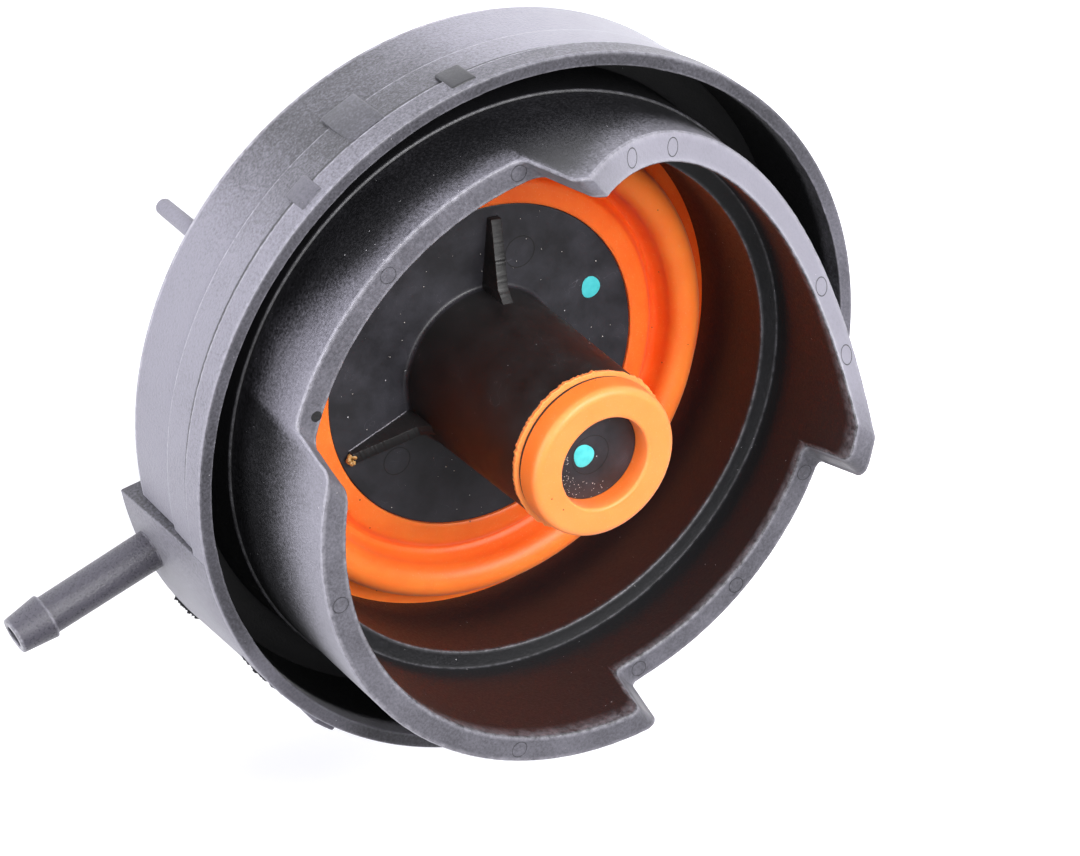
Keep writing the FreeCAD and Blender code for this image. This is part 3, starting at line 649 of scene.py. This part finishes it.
# Diaphragm: a moulded disc of orange silicone with a raised roll near its edge.
# The carrier clamps its flange, the piston's plate is bonded to its middle, and the roll gives as it moves.
PLATE_R = 18.75
RIM_FLAT_R = 21.0
ROLL_R = 25.15
ROLL_Z = -11.3
ROLL_ROUND = 1.95
WEB = 1.0
RUBBER_BACK_Z = -14.6
FLAT_LINE = (
    (PLATE_R - 0.05, -13.55), (PLATE_R - 0.05, -11.42), (PLATE_R + 0.1, -11.31), (PLATE_R + 0.35, -11.27),
    (19.6, -11.3), (20.4, -11.33), (20.95, -11.43), (21.35, -11.75), (21.6, -12.1), (21.85, -12.4),
    (22.2, -12.55), (22.55, -12.42), (22.8, -12.05), (23.0, -11.65),
)
FLANGE_LINE = (
    (27.12, -11.9), (27.18, -12.4), (27.35, -12.75), (27.7, -12.93), (28.3, FLANGE_Z), (SEAT_R, FLANGE_Z),
    (SEAT_R, CLAMP_Z), (26.4, CLAMP_Z), (26.1, -13.4),
)
MIDDLE_LINE = (
    (23.2, -13.55), (21.6, -13.6), (20.2, RUBBER_BACK_Z), (10.0, RUBBER_BACK_Z), (0.0, RUBBER_BACK_Z),
    (0.0, -13.62),
)
CURE_CLOUD_MM = 5.0
SKIN_GRAIN_MM = 0.22
GRIT_MM = 2.6


def rubber_shift(angle, r, z):
    """The soft skin's slight waves, on the flat, the groove and the roll."""
    if 19.5 < r < 28.2:
        r += 0.05 * noise.noise(Vector((math.cos(angle) * 3, math.sin(angle) * 3, 2.0)))
        z += 0.05 * noise.noise(Vector((math.cos(angle) * 4, math.sin(angle) * 4, 7.0)))
    return r, z


def rubber_painted_light(turn, r, z):
    """Painted light: pale on the roll's crest as a painted highlight and on the lit side toward the nipple,
    with painted shade deepening the groove beside the flat.
    """
    crest = 0.04 + 0.81 * ease((z + 11.0) / 1.7) if r > RIM_FLAT_R else 0.4
    lit_side = 0.5 + 0.5 * math.cos(math.radians(turn - 86))
    return max(crest, 0.75 * lit_side ** 2)


def moulded_silicone(name, deep, light, roughness, haze, scatter_mm):
    """Soft silicone rubber: light goes a little way in, and a thin dusty haze sits on the satin skin.

    The mesh's pale_tone value says where the skin is pale, as on a crest, and where its colour is deep; on
    the diaphragm and the seal this is painted light and shade.
    """
    material, tree, shader, mm = new_material(name)
    cloud = add(tree, "TexNoise", {"Vector": mm, "Scale": 1 / CURE_CLOUD_MM, "Detail": 4.0, "Roughness": 0.6})
    cloudy = add(tree, "MapRange", {0: cloud, 1: 0.3, 2: 0.7, 3: -0.15, 4: 0.15})
    pale_tone = add(tree, "Attribute", out="Fac", attribute_name="pale_tone")
    tint = add(tree, "Math", {0: pale_tone, 1: cloudy}, operation="ADD", use_clamp=True)
    body = add(tree, "Mix", {0: tint, "A": hex_colour(deep), "B": hex_colour(light)}, data_type="RGBA")
    skin = add(tree, "TexNoise", {"Vector": mm, "Scale": 1 / SKIN_GRAIN_MM, "Detail": 2.0, "Roughness": 0.7})
    dusty = add(tree, "MapRange", {0: skin, 1: 0.6, 2: 0.78, 3: 0.0, 4: haze})
    hazed = add(tree, "Mix", {0: dusty, "A": body, "B": hex_colour("#f4c39c")}, data_type="RGBA")
    grit = add(tree, "TexVoronoi", {"Vector": mm, "Scale": 1 / GRIT_MM, "Randomness": 1.0}, feature="F1")
    speck = add(tree, "Math", {0: grit, 1: 0.035}, operation="LESS_THAN")
    colour = add(tree, "Mix", {0: speck, "A": hazed, "B": hex_colour("#5a2410")}, data_type="RGBA")
    tree.links.new(colour, shader.inputs["Base Color"])
    rough = add(tree, "MapRange", {0: skin, 1: 0.3, 2: 0.7, 3: roughness - 0.06, 4: roughness + 0.08})
    tree.links.new(rough, shader.inputs["Roughness"])
    bump = add(tree, "Bump", {"Height": skin, "Strength": 1.0, "Distance": 0.006 * MM})
    tree.links.new(bump, shader.inputs["Normal"])
    shader.inputs["IOR"].default_value = 1.42
    shader.inputs["Sheen Weight"].default_value = 0.1
    shader.inputs["Sheen Roughness"].default_value = 0.4
    shader.inputs["Subsurface Weight"].default_value = 0.35
    shader.inputs["Subsurface Scale"].default_value = scatter_mm * MM
    shader.inputs["Subsurface Radius"].default_value = (1.0, 0.35, 0.1)
    return material


rubber_line = [(r, z, 1.0 if r == PLATE_R + 0.1 else 0.0) for r, z in FLAT_LINE]
for k in range(17):
    swing = math.pi * (1 - k / 16)
    wide = ROLL_ROUND + 0.02
    rubber_line.append((ROLL_R + wide * math.cos(swing), ROLL_Z + ROLL_ROUND * math.sin(swing), 0.0))
rubber_line += [(r, z, 0.0) for r, z in FLANGE_LINE]
for k in range(9):
    swing = math.pi * k / 8
    hollow = ROLL_ROUND - WEB
    rubber_line.append((ROLL_R + hollow * math.cos(swing), ROLL_Z + hollow * math.sin(swing), 0.0))
rubber_line += [(r, z, 0.0) for r, z in MIDDLE_LINE]
rubber = turned("roll_diaphragm", rubber_line, shift=rubber_shift, pale_tone=rubber_painted_light)
orange_silicone = moulded_silicone("moulded orange silicone", "#e6500d", "#fe8233", 0.4, 0.25, 1.2)
rubber.data.materials.append(orange_silicone)
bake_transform(rubber)
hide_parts("diaphragm")

# Piston: a round plate bonded on the diaphragm, a tapered hollow stem and three thin fins between them.
# One smooth moulding in black nylon, with faint tool rings on the plate and a rough sprue end on one fin.
PLATE_Z = -11.55
STEM_R = 9.25
STEM_TIP_R = 8.8
STEM_TIP_Z = 9.6
STEM_BORE_R = 6.8
STEM_BORE_Z = 7.3
NOSE_R = 5.15
NOSE_Z = 11.0
FIN_ANGLES = (-46.0, 70.5, -166.0)
FIN_THICK = 1.3
FIN_START_R = 8.4
FIN_END_R = 17.4
FIN_END_Z = -10.75
FIN_KINK_R = 10.3
FIN_KINK_Z = -8.4
FIN_ROOT_Z = -6.4
FIN_FOOT_Z = -12.2
FIN_STEPS = 80
PLATE_MARKS = ((13.2, -62.5, 1.8), (13.6, 88.3, 1.6), (14.2, -160.0, 1.8))
NOSE_MARK = (0.4, 40.0, 2.2)
RING_MM = 0.5
SATIN_MM = 4.0
HAIRLINE_MM = 3.3
DUST_MM = 1.5
DUST_GROUP_MM = 3.0


def smooth_nylon(name, body, pale_tone, roughness, rings):
    """Nylon from a turned and polished tool: satin black, with faint rings round the axis and hairlines."""
    material, tree, shader, mm = new_material(name)
    x = add(tree, "SeparateXYZ", {0: mm}, out="X")
    y, z = x.node.outputs["Y"], x.node.outputs["Z"]
    flat = add(tree, "CombineXYZ", {0: x, 1: y})
    far = add(tree, "VectorMath", {0: flat}, operation="LENGTH")
    section = add(tree, "CombineXYZ", {0: far, 2: z})
    ring = add(tree, "TexNoise", {"Vector": section, "Scale": 1 / RING_MM, "Detail": 3.0, "Roughness": 0.7})
    cloud = add(tree, "TexNoise", {"Vector": mm, "Scale": 1 / SATIN_MM, "Detail": 5.0, "Roughness": 0.65})
    tint = add(tree, "MapRange", {0: cloud, 1: 0.35, 2: 0.75})
    plain = add(tree, "Mix", {0: tint, "A": hex_colour(body), "B": hex_colour(pale_tone)}, data_type="RGBA")
    hair = add(tree, "TexNoise", {"Vector": mm, "Scale": 1 / HAIRLINE_MM, "Detail": 1.0, "Distortion": 2.2})
    line = add(tree, "Math", {0: hair, 1: 0.5}, operation="SUBTRACT")
    narrow = add(tree, "Math", {0: line, 1: 0.0, 2: 0.0012}, operation="COMPARE")
    some = add(tree, "MapRange", {0: cloud, 1: 0.52, 2: 0.62, 3: 0.0, 4: 0.35})
    scratch = add(tree, "Math", {0: narrow, 1: some}, operation="MULTIPLY")
    worn = add(tree, "Mix", {0: scratch, "A": plain, "B": hex_colour("#8a8890")}, data_type="RGBA")
    dust = add(tree, "TexVoronoi", {"Vector": mm, "Scale": 1 / DUST_MM, "Randomness": 1.0}, feature="F1")
    thin = add(tree, "TexNoise", {"Vector": mm, "Scale": 1 / DUST_GROUP_MM, "Detail": 2.0})
    limit = add(tree, "MapRange", {0: thin, 1: 0.5, 2: 0.75, 3: 0.0, 4: 0.08})
    speck = add(tree, "Math", {0: dust, 1: limit}, operation="LESS_THAN")
    colour = add(tree, "Mix", {0: speck, "A": worn, "B": hex_colour("#b4b1b6")}, data_type="RGBA")
    tree.links.new(colour, shader.inputs["Base Color"])
    rough = add(tree, "MapRange", {0: cloud, 1: 0.3, 2: 0.7, 3: roughness - 0.06, 4: roughness + 0.1})
    tree.links.new(rough, shader.inputs["Roughness"])
    bump = add(tree, "Bump", {"Height": ring, "Strength": rings, "Distance": 0.01 * MM})
    tree.links.new(bump, shader.inputs["Normal"])
    shader.inputs["IOR"].default_value = 1.53
    return material


def fin_ridge(x):
    """Height of a fin's ridge at a radius: low at its end, steeper past the kink near the stem."""
    if x < FIN_KINK_R:
        return FIN_KINK_Z + (FIN_ROOT_Z - FIN_KINK_Z) * (FIN_KINK_R - x) / (FIN_KINK_R - FIN_START_R)
    return FIN_END_Z + (FIN_KINK_Z - FIN_END_Z) * (FIN_END_R - x) / (FIN_END_R - FIN_KINK_R)


satin_nylon = smooth_nylon("satin moulded nylon", "#1f1e22", "#323138", 0.42, 0.8)
fin_nylon = smooth_nylon("dark moulded nylon fins", "#0f0e0f", "#1d1b1d", 0.5, 0.0)
piston_line = rounded([
    (0.0, NOSE_Z, 0), (0.0, STEM_BORE_Z, 0), (STEM_BORE_R, STEM_BORE_Z, 0.3), (STEM_BORE_R, -13.6, 0),
    (PLATE_R - 0.12, -13.6, 0), (PLATE_R - 0.12, PLATE_Z, 0.14), (STEM_R, PLATE_Z, 0.4),
    (STEM_TIP_R, STEM_TIP_Z, 0.2), (NOSE_R - 0.02, STEM_TIP_Z, 0), (NOSE_R - 0.02, NOSE_Z, 0.12),
])
piston = turned("piston", piston_line)
fins = []
for n, degrees in enumerate(FIN_ANGLES):
    turn = math.radians(degrees)
    fin_rings = []
    for step in range(FIN_STEPS + 1):
        x = FIN_START_R + (FIN_END_R - FIN_START_R) * step / FIN_STEPS
        ring = []
        for side, height in ((-1, FIN_FOOT_Z), (1, FIN_FOOT_Z), (1, fin_ridge(x)), (-1, fin_ridge(x))):
            rag = 0.0 if height == FIN_FOOT_Z else noise.noise(Vector((x * 5.0, side * 7.0, n * 5.0)))
            y = side * (FIN_THICK / 2 + 0.05 * rag)
            ring.append((x * math.cos(turn) - y * math.sin(turn), x * math.sin(turn) + y * math.cos(turn),
                         height + 0.07 * rag))
        fin_rings.append(ring)
    fins.append(block("piston_fin_%d" % (n + 1), fin_rings, 0.1, segments=2))
plate_marks = mark_rings("plate_ejector_marks", PLATE_MARKS, lambda angle, radius: PLATE_Z, 0.13)
nose_mark = mark_rings("nose_ejector_mark", [NOSE_MARK], lambda angle, radius: NOSE_Z, 0.08)
piston.data.materials.append(satin_nylon)
piston.data.materials.append(fin_nylon)
for face in piston.data.polygons:
    if face.center.z > (PLATE_Z + 0.6) * MM and math.hypot(face.center.x, face.center.y) > NOSE_R * MM:
        face.material_index = 1
for piece in [plate_marks, nose_mark] + fins:
    piece.data.materials.append(fin_nylon)
for piece in [piston, plate_marks, nose_mark] + fins:
    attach(piece, "valve")
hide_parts("piston")

# Flash and gate on the second fin: a thin scraped film along its foot, and a stub of amber resin at its end.
# The resin is what the gate left when the moulding was broken off its sprue.
FIN_FLASH_START = 9.7
FIN_FLASH_LENGTH = 7.6
FILM_ROOT = 0.15


def ragged_strip(name, path, seed, base, thick, tall):
    """A thin film of flash along a path of (place, outward, across), torn at its outer edge."""
    rings = []
    for k, (at, outward, across) in enumerate(path):
        torn = 0.5 + 0.9 * noise.noise(Vector((k * 0.17, seed, 0.0)))
        torn += 0.5 * noise.noise(Vector((k * 0.8, seed, 5.0)))
        fade = min(1.0, k / 4, (len(path) - 1 - k) / 4)
        out = outward * (base + tall * max(0.0, torn) * fade)
        side, root = across * thick / 2, outward * FILM_ROOT
        corners = (at - side - root, at + side - root, at + side + out, at - side + out)
        rings.append([tuple(corner) for corner in corners])
    return block(name, rings, rounding=0.01, segments=1, pale_tone=lambda turn, r, z: 0.15)


def vestige_shift(angle, r, z):
    """The gate's torn end: not quite round and not quite flat."""
    r *= 1 + 0.2 * noise.noise(Vector((math.cos(angle) * 2, math.sin(angle) * 2, 1)))
    return r, z + 0.12 * math.sin(3 * angle)


turn = math.radians(FIN_ANGLES[1])
along_fin = Vector((math.cos(turn), math.sin(turn), 0))
beside_fin = Vector((math.sin(turn), -math.cos(turn), 0))
fin_path = []
for k in range(61):
    foot = along_fin * (FIN_FLASH_START + FIN_FLASH_LENGTH * k / 60) + beside_fin * (FIN_THICK / 2 + 0.03)
    fin_path.append((foot + Vector((0, 0, PLATE_Z)), Vector((0, 0, 1)), beside_fin))
fin_flash = ragged_strip("fin_base_flash", fin_path, 3.0, 0.03, 0.09, 0.09)
fin_flash.data.materials.append(moulded_nylon("scraped nylon flash", "#8d8b94", "#b9b7be", relief_mm=0.02))
vestige_line = rounded([
    (0.16, -0.5, 0), (0.6, -0.5, 0.1), (0.66, -0.1, 0.12), (0.4, 0.12, 0.1), (0.16, -0.1, 0.05),
])
vestige_place = along_fin * (FIN_END_R + 0.15) + Vector((0, 0, FIN_END_Z + 0.05))
vestige = turned("gate_vestige", vestige_line, 40, vestige_shift, Matrix.Translation(vestige_place * MM))
vestige.data.materials.append(moulded_nylon("amber gate residue", "#3a2410", "#a8763a", "#d8b070", 0.35,
                                            grain_mm=0.25, relief_mm=0.08, sheen=0.0))
for piece in (fin_flash, vestige):
    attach(piece, "valve")

# Tip seal: a soft ring moulded round the stem's nose, lighter in colour than the diaphragm.
# Its front is flat with an eased edge, and a ragged film of flash hangs over the neck at its back.
SEAL_R = 8.6
SEAL_LIP_R = 8.9
SEAL_LIP_Z = 10.1
SEAL_NECK_R = 8.05
SEAL_EDGE_R = 8.42
SEAL_FRONT_Z = 13.4
GAP_RING_R = SEAL_R - 0.14


def lip_shift(angle, r, z):
    """The film's torn edge behind the neck."""
    if r > SEAL_NECK_R + 0.1 and STEM_TIP_Z < z < SEAL_LIP_Z + 0.15:
        rag = noise.noise(Vector((math.cos(angle) * 6, math.sin(angle) * 6, 3.0)))
        rag += 0.7 * noise.noise(Vector((math.cos(angle) * 25, math.sin(angle) * 25, 9.0)))
        r += 0.02 + 0.3 * abs(rag)
        z -= 0.12 * max(0.0, rag)
    return r, z


def seal_tone_and_shade(turn, r, z):
    """Pale on the thin film; pale on the front and deeper on the ring's side, as painted light and shade."""
    return 1.0 if z < SEAL_LIP_Z + 0.1 else 0.15 + 0.75 * ease((z - 11.9) / 1.4)


seal_line = rounded([
    (NOSE_R, STEM_TIP_Z + 0.01, 0), (SEAL_LIP_R - 0.08, STEM_TIP_Z + 0.01, 0), (SEAL_LIP_R, SEAL_LIP_Z, 0.08),
    (SEAL_NECK_R, SEAL_LIP_Z + 0.12, 0.05), (SEAL_NECK_R, SEAL_LIP_Z + 0.34, 0.05),
    (SEAL_R, SEAL_LIP_Z + 0.5, 0.15), (SEAL_EDGE_R, SEAL_FRONT_Z, 0.85), (NOSE_R, SEAL_FRONT_Z, 0.35),
    (NOSE_R, NOSE_Z, 0),
])
seal = turned("tip_seal_ring", seal_line, shift=lip_shift, pale_tone=seal_tone_and_shade)
pale_silicone = moulded_silicone("pale orange silicone", "#ef7526", "#f98f4c", 0.38, 0.25, 1.2)
seal.data.materials.append(pale_silicone)
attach(seal, "valve")
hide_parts("tip_seal")
# A thin dark ring fills the gap between the seal's lip and its ring, so that the gap shows as a dark line.
gap_ring_line = rounded([
    (7.9, SEAL_LIP_Z + 0.1, 0), (GAP_RING_R, SEAL_LIP_Z + 0.1, 0.03),
    (GAP_RING_R, SEAL_LIP_Z + 0.32, 0.03), (7.9, SEAL_LIP_Z + 0.32, 0),
])
gap_ring = turned("seal_gap_dark_ring", gap_ring_line)
gap_ring.data.materials.append(fin_nylon)
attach(gap_ring, "valve")

# Paint dots: two touches of blue-green inspection paint, one on the plate and one in the seal's hollow.
# Thick glossy paint put on with a pen, so each dot is slightly domed with a soft uneven edge.
# Each dot has its name, its place as radius and degrees, the height and its own radius and colour.
DOTS = (
    ("plate_paint_dot", 14.8, -108.5, PLATE_Z, 1.2, "#54c4c8"),
    ("nose_paint_dot", 1.2, 41.0, NOSE_Z, 1.25, "#62dadc"),
)
DOT_HEIGHT = 0.12
PAINT_CLOUD_MM = 0.7


def wet_paint(name, colour):
    """Glossy marking paint, a little thicker and darker in clouds where the pen dwelt."""
    material, tree, shader, mm = new_material(name)
    cloud = add(tree, "TexNoise", {"Vector": mm, "Scale": 1 / PAINT_CLOUD_MM, "Detail": 3.0})
    body = add(tree, "Mix", {0: cloud, "A": hex_colour(colour), "B": hex_colour("#38b0b6")}, data_type="RGBA")
    tree.links.new(body, shader.inputs["Base Color"])
    bump = add(tree, "Bump", {"Height": cloud, "Strength": 0.6, "Distance": 0.05 * MM})
    tree.links.new(bump, shader.inputs["Normal"])
    shader.inputs["Roughness"].default_value = 0.4
    return material


for name, place_r, turn, height, radius, colour in DOTS:
    line = [(0.0, -0.02, 0.0), (radius * 1.02, -0.02, 0.0), (radius, 0.03, 0.0), (radius * 0.85, 0.08, 0.0),
            (radius * 0.5, 0.11, 0.0), (0.0, DOT_HEIGHT, 0.0)]
    phase = random.Random(name).uniform(0, 6)

    def dot_shift(angle, r, z):
        return r * (1 + 0.06 * math.sin(2 * angle + phase) + 0.04 * math.sin(3 * angle + phase)), z

    at = Vector((place_r * math.cos(math.radians(turn)), place_r * math.sin(math.radians(turn)), height))
    dot = turned(name, line, 48, dot_shift, Matrix.Translation(at * MM))
    dot.data.materials.append(wet_paint(name.replace("_", " "), colour))
    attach(dot, "valve")

# Parting-line flash: thin torn films that the tool left on the skirt's parting lines and on the seal's edge.
# Film of the parent material, a tenth of a millimetre thick or so, never trimmed off.
# Each film has its name, first and last angle, radius, height and how far it stands out.
SKIRT_FILMS = (
    ("rim_parting_flash", 80.0, 92.0, RIM_R, -3.05, 0.32),
    ("boss_parting_flash", 81.5, 88.0, BOSS_BACK_R, -18.6, 0.45),
    ("step_line_flash", 44.0, 58.5, BAND_R, -3.3, 0.12),
)
TAG_ANGLE = 177.0
TAG_SWEEP = 9.0
TAG_Z = 12.0


def round_path(first, sweep, radius, height, fall, steps):
    """A path for a film round the axis, which may fall a little with each step."""
    path = []
    for k in range(steps + 1):
        turn = math.radians(first + sweep * k / steps)
        outward = Vector((math.cos(turn), math.sin(turn), 0))
        path.append((outward * radius + Vector((0, 0, height - fall * k)), outward, Vector((0, 0, 1))))
    return path


for seed, (name, first, last, radius, height, tall) in enumerate(SKIRT_FILMS):
    film_path = round_path(first, last - first, radius, height, 0.0, 60)
    film = ragged_strip(name, film_path, 11.0 + seed, 0.0, 0.1, tall)
    film.data.materials.append(lug_nylon)
    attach(film, "housing")
tag_path = round_path(TAG_ANGLE, TAG_SWEEP, SEAL_R - 0.05, TAG_Z, 0.05, 20)
tag = ragged_strip("seal_flash_tag", tag_path, 21.0, 0.05, 0.25, 0.4)
tag.data.materials.append(pale_silicone)
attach(tag, "valve")

# Dust: pale specks of packing dust that lie on the nose disc and on the piston's plate.
# Tiny loose flakes of grey-white fibre and grit, held by the parts' static charge.
NOSE_SPECKS = 90
ALL_SPECKS = 150
grit = random.Random("dust")
dust_verts, dust_faces = [], []
for n in range(ALL_SPECKS):
    if n < NOSE_SPECKS:
        radius, turn, height = grit.uniform(3.0, 5.05), math.radians(grit.gauss(92, 38)), NOSE_Z
    else:
        radius, turn, height = grit.uniform(11.0, 18.4), math.radians(grit.uniform(-180, 180)), PLATE_Z
    size = grit.uniform(0.03, 0.09)
    spin = grit.uniform(0, 6)
    first = len(dust_verts)
    x, y = radius * math.cos(turn), radius * math.sin(turn)
    for k in range(4):
        reach = size * grit.uniform(0.6, 1.3)
        corner = spin + k * math.pi / 2
        dust_verts.append(((x + reach * math.cos(corner)) * MM, (y + reach * math.sin(corner)) * MM,
                           (height - 0.01) * MM))
    dust_verts.append((x * MM, y * MM, (height + size * 0.7) * MM))
    dust_faces += [(first + k, first + (k + 1) % 4, first + 4) for k in range(4)]
    dust_faces.append((first + 3, first + 2, first + 1, first))
dust_mesh = bpy.data.meshes.new("nose_dust")
dust_mesh.from_pydata(dust_verts, [], dust_faces)
dust = finished("nose_dust", dust_mesh)
dust.data.materials.append(moulded_nylon("packing dust", "#8a8584", "#cfc8c2", relief_mm=0.0, sheen=0.0))
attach(dust, "valve")

# Camera: a long lens from the photograph's direction, worked out from the cap's round edges.
# No shift is needed, because the picture's middle is the lens's middle.
CAMERA_PLACE = Vector((0.315806, 0.011792, 0.354892))
CAMERA_RIGHT = Vector((-0.560865, -0.643320, 0.521123))
CAMERA_UP = Vector((0.490731, -0.765278, -0.416571))
CAMERA_BACK = Vector((0.666793, 0.022091, 0.744916))
LENS_MM = 151.393
camera_data = bpy.data.cameras.new("photo_camera")
camera_data.lens = LENS_MM
camera_data.sensor_width = 36.0
camera_data.clip_start, camera_data.clip_end = 0.01, 20.0
camera = bpy.data.objects.new("photo_camera", camera_data)
bpy.context.scene.collection.objects.link(camera)
view = Matrix((CAMERA_RIGHT, CAMERA_UP, CAMERA_BACK)).transposed()
camera.matrix_world = Matrix.Translation(CAMERA_PLACE) @ view.to_4x4()
bpy.context.scene.camera = camera

# Table: white paper under the cap, white to the camera and in reflections.
# The paper's lift is a painted glow that washes out the cap's shade on it; it is weaker on the side away from
# the lamps, where the cap's shadow falls.
TABLE_HALF = 3
SHADOW_SIDE = (-0.545, 0.839, 0.0)
PAPER_FIBRES_PER_METRE = 900.0


def seen_share(tree):
    """1 for rays that come from the camera, a reflection or clear material, and 0 for light on the cap.

    The second output is 1 for the camera's own rays alone.
    """
    camera_ray = add(tree, "LightPath", out="Is Camera Ray")
    rays = camera_ray.node.outputs
    seen = add(tree, "Math", {0: camera_ray, 1: rays["Is Glossy Ray"]}, operation="MAXIMUM")
    return add(tree, "Math", {0: seen, 1: rays["Is Transmission Ray"]}, operation="MAXIMUM"), camera_ray


round_corners = ((-1, -1), (1, -1), (1, 1), (-1, 1))
floor_corners = [(x * TABLE_HALF, y * TABLE_HALF, DOME_BACK_Z * MM) for x, y in round_corners]
floor_mesh = bpy.data.meshes.new("table")
floor_mesh.from_pydata(floor_corners, [], [(0, 1, 2, 3)])
floor = bpy.data.objects.new("table", floor_mesh)
bpy.context.scene.collection.objects.link(floor)
table_paper = bpy.data.materials.new("white table paper")
table_paper.use_nodes = True
tree = table_paper.node_tree
shader = tree.nodes["Principled BSDF"]
place = add(tree, "TexCoord", out="Object")
fibre = add(tree, "TexNoise", {"Vector": place, "Scale": PAPER_FIBRES_PER_METRE, "Detail": 3.0})
paper = add(tree, "Mix", {0: fibre, "A": hex_colour("#d3d3dc"), "B": hex_colour("#dadae1")}, data_type="RGBA")
tree.links.new(paper, shader.inputs["Base Color"])
shader.inputs["Roughness"].default_value = 0.9
below = add(tree, "VectorMath", {0: place, 1: SHADOW_SIDE}, operation="DOT_PRODUCT")
painted_lift = add(tree, "MapRange", {0: below, 1: 0.04, 2: 0.058, 3: 0.8, 4: 0.32}, interpolation_type="SMOOTHSTEP")
lift = add(tree, "Math", {0: seen_share(tree)[0], 1: painted_lift}, operation="MULTIPLY")
shader.inputs["Emission Color"].default_value = (1.0, 1.0, 1.0, 1.0)
tree.links.new(lift, shader.inputs["Emission Strength"])
floor.data.materials.append(table_paper)

# Light: a small tent of white cloth, bright at its foot and dimmer overhead, with three soft boxes outside.
# Each soft box has its name, angle round the cap, angle above the table, distance, width, height and power.
LAMPS = (
    ("left_softbox", 42.0, 14.0, 0.5, 0.5, 0.25, 1.7),
    ("top_softbox", -62.0, 50.0, 0.5, 0.5, 0.25, 3.5),
    ("front_softbox", -15.0, 66.0, 0.7, 0.5, 0.5, 3.1),
)
world = bpy.data.worlds.new("light tent")
bpy.context.scene.world = world
world.use_nodes = True
tree = world.node_tree
backdrop = tree.nodes["Background"]
seen, camera_ray = seen_share(tree)
direction = add(tree, "TexCoord", out="Generated")
height = add(tree, "SeparateXYZ", {0: direction}, out="Z")
overhead = add(tree, "MapRange", {0: height, 1: 0.1, 2: 0.75, 3: 1.0, 4: 0.35},
               interpolation_type="SMOOTHSTEP")
level = add(tree, "MapRange", {0: seen, 3: 0.75, 4: 1.0})
tent = add(tree, "Math", {0: overhead, 1: level}, operation="MULTIPLY")
strength = add(tree, "Math", {0: tent, 1: camera_ray}, operation="MAXIMUM")
tree.links.new(strength, backdrop.inputs["Strength"])
backdrop.inputs["Color"].default_value = hex_colour("#ffffff")
for name, round_angle, height_angle, away, width, height, power in LAMPS:
    turn, rise = math.radians(round_angle), math.radians(height_angle)
    direction = Vector((math.cos(turn) * math.cos(rise), math.sin(turn) * math.cos(rise), math.sin(rise)))
    lamp_data = bpy.data.lights.new(name, "AREA")
    lamp_data.shape = "RECTANGLE"
    lamp_data.size, lamp_data.size_y = width, height
    lamp_data.energy = power
    lamp = bpy.data.objects.new(name, lamp_data)
    lamp.location = direction * away
    lamp.rotation_mode = "QUATERNION"
    lamp.rotation_quaternion = direction.to_track_quat("Z", "Y")
    bpy.context.scene.collection.objects.link(lamp)

bpy.context.scene.view_settings.view_transform = "Standard"
